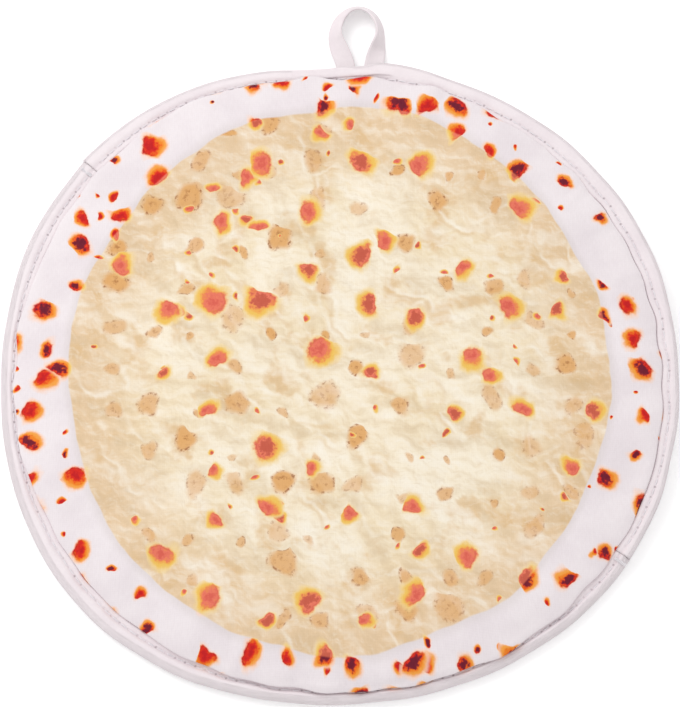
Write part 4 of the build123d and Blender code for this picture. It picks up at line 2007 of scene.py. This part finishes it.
@dataclass
class HangingLoop(Assembly):
    """The tail of the edge tape, folded into a loop. Its legs lie flat, and round its eye it stands up.

    The upper edge leans in over the eye, so the lower edge is the loop's outline.
    """

    root: Vector
    across: Vector
    width: float = 9 * MM
    thickness: float = 1.4 * MM
    middle_share: float = 0.78
    half_eye: float = 10.7 * MM
    eye_shift: float = 1.0 * MM
    widest: float = 15.0 * MM
    top: float = 29.3 * MM
    left_foot: float = -3.6 * MM
    right_foot: float = 9.2 * MM
    left_twist: float = math.radians(-50)
    top_twist: float = math.radians(-62)
    right_twist: float = math.radians(-68)
    floor_gap: float = 0.3 * MM
    eases_in: float = 12 * MM
    stations: int = 150
    bend: float = 7 * MM
    rim_bearing: float = 0.05
    foot_inset: float = 2.4 * MM
    bar_inset: float = 3.2 * MM
    bar_drop: float = 0.1 * MM
    bar: StitchBar = StitchBar(length=22 * MM, threads=34)

    @property
    def outward(self) -> Vector:
        """The level direction away from the pouch."""
        return Vector((0, 0, 1)).cross(self.across).normalized()

    def leg(self, foot: float, eye: float, twist: float, count: int) -> tuple[Array, Array]:
        """One leg, from its foot under the rim to the widest part of the eye.

        Args:
            foot: How far to the side its foot is.
            eye: How far to the side the eye's widest part is.
            twist: How far the tape is turned up there.
            count: How many places to give.

        Returns:
            Its places and the turn at each.
        """
        rim = self.form.outline.reach_at(self.rim_bearing)
        start = rim - self.foot_inset - self.root.dot(self.outward)
        rising = np.linspace(start, self.widest, count + 1)[:-1]
        side = foot + (eye - foot) * smooth(-3 * MM, self.widest * 1.1, rising)
        return np.stack([side, rising], -1), twist * smooth(0.5 * MM, self.widest * 1.1, rising)

    def line(self) -> tuple[Array, Array]:
        """The loop's middle line, from the left foot over the top to the right foot.

        Returns:
            Its places, as across and outward, and how far the tape is turned up at each.
        """
        third = self.stations // 3
        left_eye, right_eye = self.eye_shift - self.half_eye, self.eye_shift + self.half_eye
        left, left_turn = self.leg(self.left_foot, left_eye, self.left_twist, third)
        right, right_turn = self.leg(self.right_foot, right_eye, self.right_twist, third)
        round_top = np.linspace(-math.pi / 2, math.pi / 2, self.stations - 2 * third)
        sides = self.eye_shift + self.half_eye * np.sin(round_top)
        rises = self.widest + (self.top - self.widest) * np.cos(round_top)
        from_side = self.left_twist + (self.right_twist - self.left_twist) * smooth(-1.2, 1.2, round_top)
        over = from_side + (self.top_twist - from_side) * np.cos(round_top) ** 2
        points = np.vstack([left, np.stack([sides, rises], -1), right[::-1]])
        turned = np.concatenate([left_turn, over, right_turn[::-1]])
        return self.even(points, 6), self.even(turned, 10)

    @staticmethod
    def even(values: Array, times: int) -> Array:
        """Softens the joins along the line, and keeps its ends.

        Args:
            values: One value, or one row of values, for each place.
            times: How often to soften.

        Returns:
            The same array, softened.
        """
        for _ in range(times):
            values[1:-1] = 0.25 * values[:-2] + 0.5 * values[1:-1] + 0.25 * values[2:]
        return values

    def section(self) -> list[tuple[float, float]]:
        """The tape's section: two folded edges, and a slight hollow along its middle.

        Returns:
            The corners, as the way across the tape and the way through it.
        """
        half, thick = self.width / 2, self.thickness / 2
        corners = []
        for face in (1, -1):
            for share in np.linspace(-face, face, 9):
                hollow = self.middle_share + (1 - self.middle_share) * share**2
                corners.append((share * (half - 0.5 * MM), face * thick * hollow))
            shoulder = face * (half - 0.1 * MM)
            corners += [(shoulder, face * thick * 0.55), (face * half, 0.0), (shoulder, -face * thick * 0.55)]
        return corners

    def ribbon(self) -> Part:
        """Sweeps the tape's section along the line.

        Returns:
            Its points, its faces and its cloth places.
        """
        line, turned = self.line()
        way = np.gradient(line, axis=0)
        way /= np.linalg.norm(way, axis=1)[:, None]
        run = np.concatenate([[0], np.cumsum(np.linalg.norm(np.diff(line, axis=0), axis=1))])
        edge_up = self.width / 2 * np.sin(np.abs(turned)) + self.thickness / 2 * np.cos(turned)
        height = np.maximum(self.floor_gap + edge_up, self.root.z)
        from_end = np.minimum(run, run[-1] - run)
        height = self.root.z + (height - self.root.z) * smooth(0, self.eases_in, from_end)
        section = self.section()
        points, places = [], []
        for (x, y), turn, (wx, wy), z, length in zip(line, turned, way, height, run):
            wide = np.array([-wy * math.cos(turn), wx * math.cos(turn), math.sin(turn)])
            thick = np.array([wy * math.sin(turn), -wx * math.sin(turn), math.cos(turn)])
            for a, b in section:
                points.append(np.array([x, y, z]) + wide * a + thick * b)
                places.append((length, a + 20 * MM, 0.0))
        axes = np.array([self.across, self.outward, (0, 0, 1)])
        placed = np.array(points) @ axes + np.array([self.root.x, self.root.y, 0])
        return placed, sweep_faces(len(line), len(section)), np.array(places)

    def bar_part(self) -> Part:
        """The bar of close stitching under the rim that holds the loop's legs.

        Returns:
            Its points, its faces and its cloth places.
        """
        away = self.form.outline.reach_at(self.rim_bearing) - self.bar_inset
        middle = self.outward * away + Vector((0, 0, self.form.tape_under - self.bar_drop))
        return self.bar.part(middle, self.across, Vector((0, 0, -1)))

    def build(self) -> None:
        """Builds the loop and its bar of stitching."""
        self.keep("hanging_ribbon", join_parts("hanging_ribbon", [self.ribbon()]))
        self.keep("loop_bar", join_parts("loop_bar", [self.bar_part()]))

    def role(self, key: str) -> Role:
        """What the loop or its bar of stitching is.

        Args:
            key: The piece's name.

        Returns:
            Its role. The ribbon bends at its root.
        """
        swings = Bend("loop", self.root, self.root + self.outward * self.bend)
        roles = {
            "hanging_ribbon": Role("edge_tape", ("hanging_loop",), swings),
            "loop_bar": Role("thread", ("loop_tack",)),
        }
        return roles[key]


# ---- studio --------------------------------------------------------------------------------------


@dataclass
class Studio:
    """The camera, one soft lamp, a white surround and the table top."""

    tilt: float = math.radians(18)
    lens: float = 135.0
    sensor: float = 36.0
    picture_height: float = 319.5 * MM
    aim: Vector = field(default_factory=lambda: Vector((1.55 * MM, 10.0 * MM, 7 * MM)))
    fill: float = 0.84
    key_power: float = 9.2
    key_size: float = 1.0
    key_place: Vector = field(default_factory=lambda: Vector((-0.8, 0.68, 1.4)))
    table_half: float = 3.0
    table_drop: float = 0.05 * MM
    table_color: tuple = (0.97, 0.97, 0.97, 1)
    table_glow: float = 0.24

    def place(self, name: str, data: bpy.types.ID, spot: Vector, facing: Vector) -> Piece:
        """Puts a camera or a lamp in the scene.

        Args:
            name: Its name.
            data: The camera or the lamp.
            spot: Where it hangs.
            facing: Which way it looks.

        Returns:
            The new object.
        """
        made = bpy.data.objects.new(name, data)
        bpy.context.scene.collection.objects.link(made)
        made.location = spot
        made.rotation_mode = "QUATERNION"
        made.rotation_quaternion = facing.to_track_quat("-Z", "Y")
        return made

    def camera(self) -> None:
        """Makes the camera, above the pouch and a little towards its lower edge."""
        data = bpy.data.cameras.new("camera")
        data.lens = self.lens
        data.sensor_width = self.sensor
        data.clip_start, data.clip_end = 0.05, 50
        back = Vector((0.0, -math.sin(self.tilt), math.cos(self.tilt)))
        distance = self.picture_height / self.sensor * self.lens
        bpy.context.scene.camera = self.place("camera", data, self.aim + back * distance, -back)

    def key(self) -> None:
        """Makes the square soft lamp, which faces the pouch."""
        data = bpy.data.lights.new("key", "AREA")
        data.size = self.key_size
        data.energy = self.key_power
        self.place("key", data, self.key_place, -self.key_place)

    def surround(self) -> None:
        """A white surround that lights the pouch softly, and looks pure white itself."""
        world = bpy.data.worlds.new("surround")
        bpy.context.scene.world = world
        nodes = Nodes(world)
        path = nodes.add("LightPath").outputs
        seen = path["Is Camera Ray"]
        for ray in ("Is Glossy Ray", "Is Transmission Ray"):
            seen = nodes.math("MAXIMUM", seen, path[ray])
        strength = nodes.add("MapRange", {"Value": seen, "To Min": self.fill, "To Max": 1.0}).outputs[0]
        background = nodes.add("Background", {"Color": (1, 1, 1, 1), "Strength": strength})
        nodes.add("OutputWorld", {0: background.outputs[0]})

    def table(self) -> None:
        """A plain white table top that keeps the pouch's shadow."""
        half = self.table_half
        corners = [(-half, -half, 0), (half, -half, 0), (half, half, 0), (-half, half, 0)]
        mesh = bpy.data.meshes.new("table_top")
        mesh.from_pydata(corners, [], [(0, 1, 2, 3)])
        top = bpy.data.objects.new("table_top", mesh)
        top.location.z = -self.table_drop
        bpy.context.scene.collection.objects.link(top)
        nodes = Nodes(bpy.data.materials.new("table top"))
        seen = nodes.add("LightPath").outputs["Is Camera Ray"]
        diffuse = nodes.add("BsdfDiffuse", {"Color": self.table_color})
        glow = nodes.add("Emission", {"Strength": nodes.times(seen, self.table_glow)})
        both = nodes.add("AddShader", {0: diffuse.outputs[0], 1: glow.outputs[0]})
        nodes.add("OutputMaterial", {0: both.outputs[0]})
        mesh.materials.append(nodes.owner)

    def build(self) -> None:
        """Sets up the whole studio."""
        self.camera()
        self.key()
        self.surround()
        self.table()
        bpy.context.scene.view_settings.view_transform = "Standard"


def joint_line(frame: dict, name: str) -> tuple[Vector, Vector]:
    """The point and direction of one of the frame's joints."""
    joint = next(j for j in frame["joints"] if j["name"] == name)
    return Vector(joint["pos_m"]), Vector(joint["axis"]).normalized()


def main() -> None:
    """Builds the pouch around its frame, piece by piece."""
    logging.basicConfig(level=logging.INFO, format="%(name)s: %(message)s")
    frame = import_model()
    Studio().build()
    rim_low, rim_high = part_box("rim_binding")
    pocket_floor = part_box("rear_lining")[1].z
    fold = Fold(*joint_line(frame, "flap_hinge"))
    form = PouchForm(Outline(rim_high.x), fold, rim_high.x, pocket_floor, rim_low.z)
    finishes = Finishes(StitchRow().pitch, form.seam_inset)
    finishes.build()
    loop = HangingLoop(form, *joint_line(frame, "loop_hinge"))
    for part in (FrontPanel(form), BackPanel(form), EdgeTape(form), loop):
        part.build()
        part.dress(finishes)


if __name__ == "__main__":
    main()
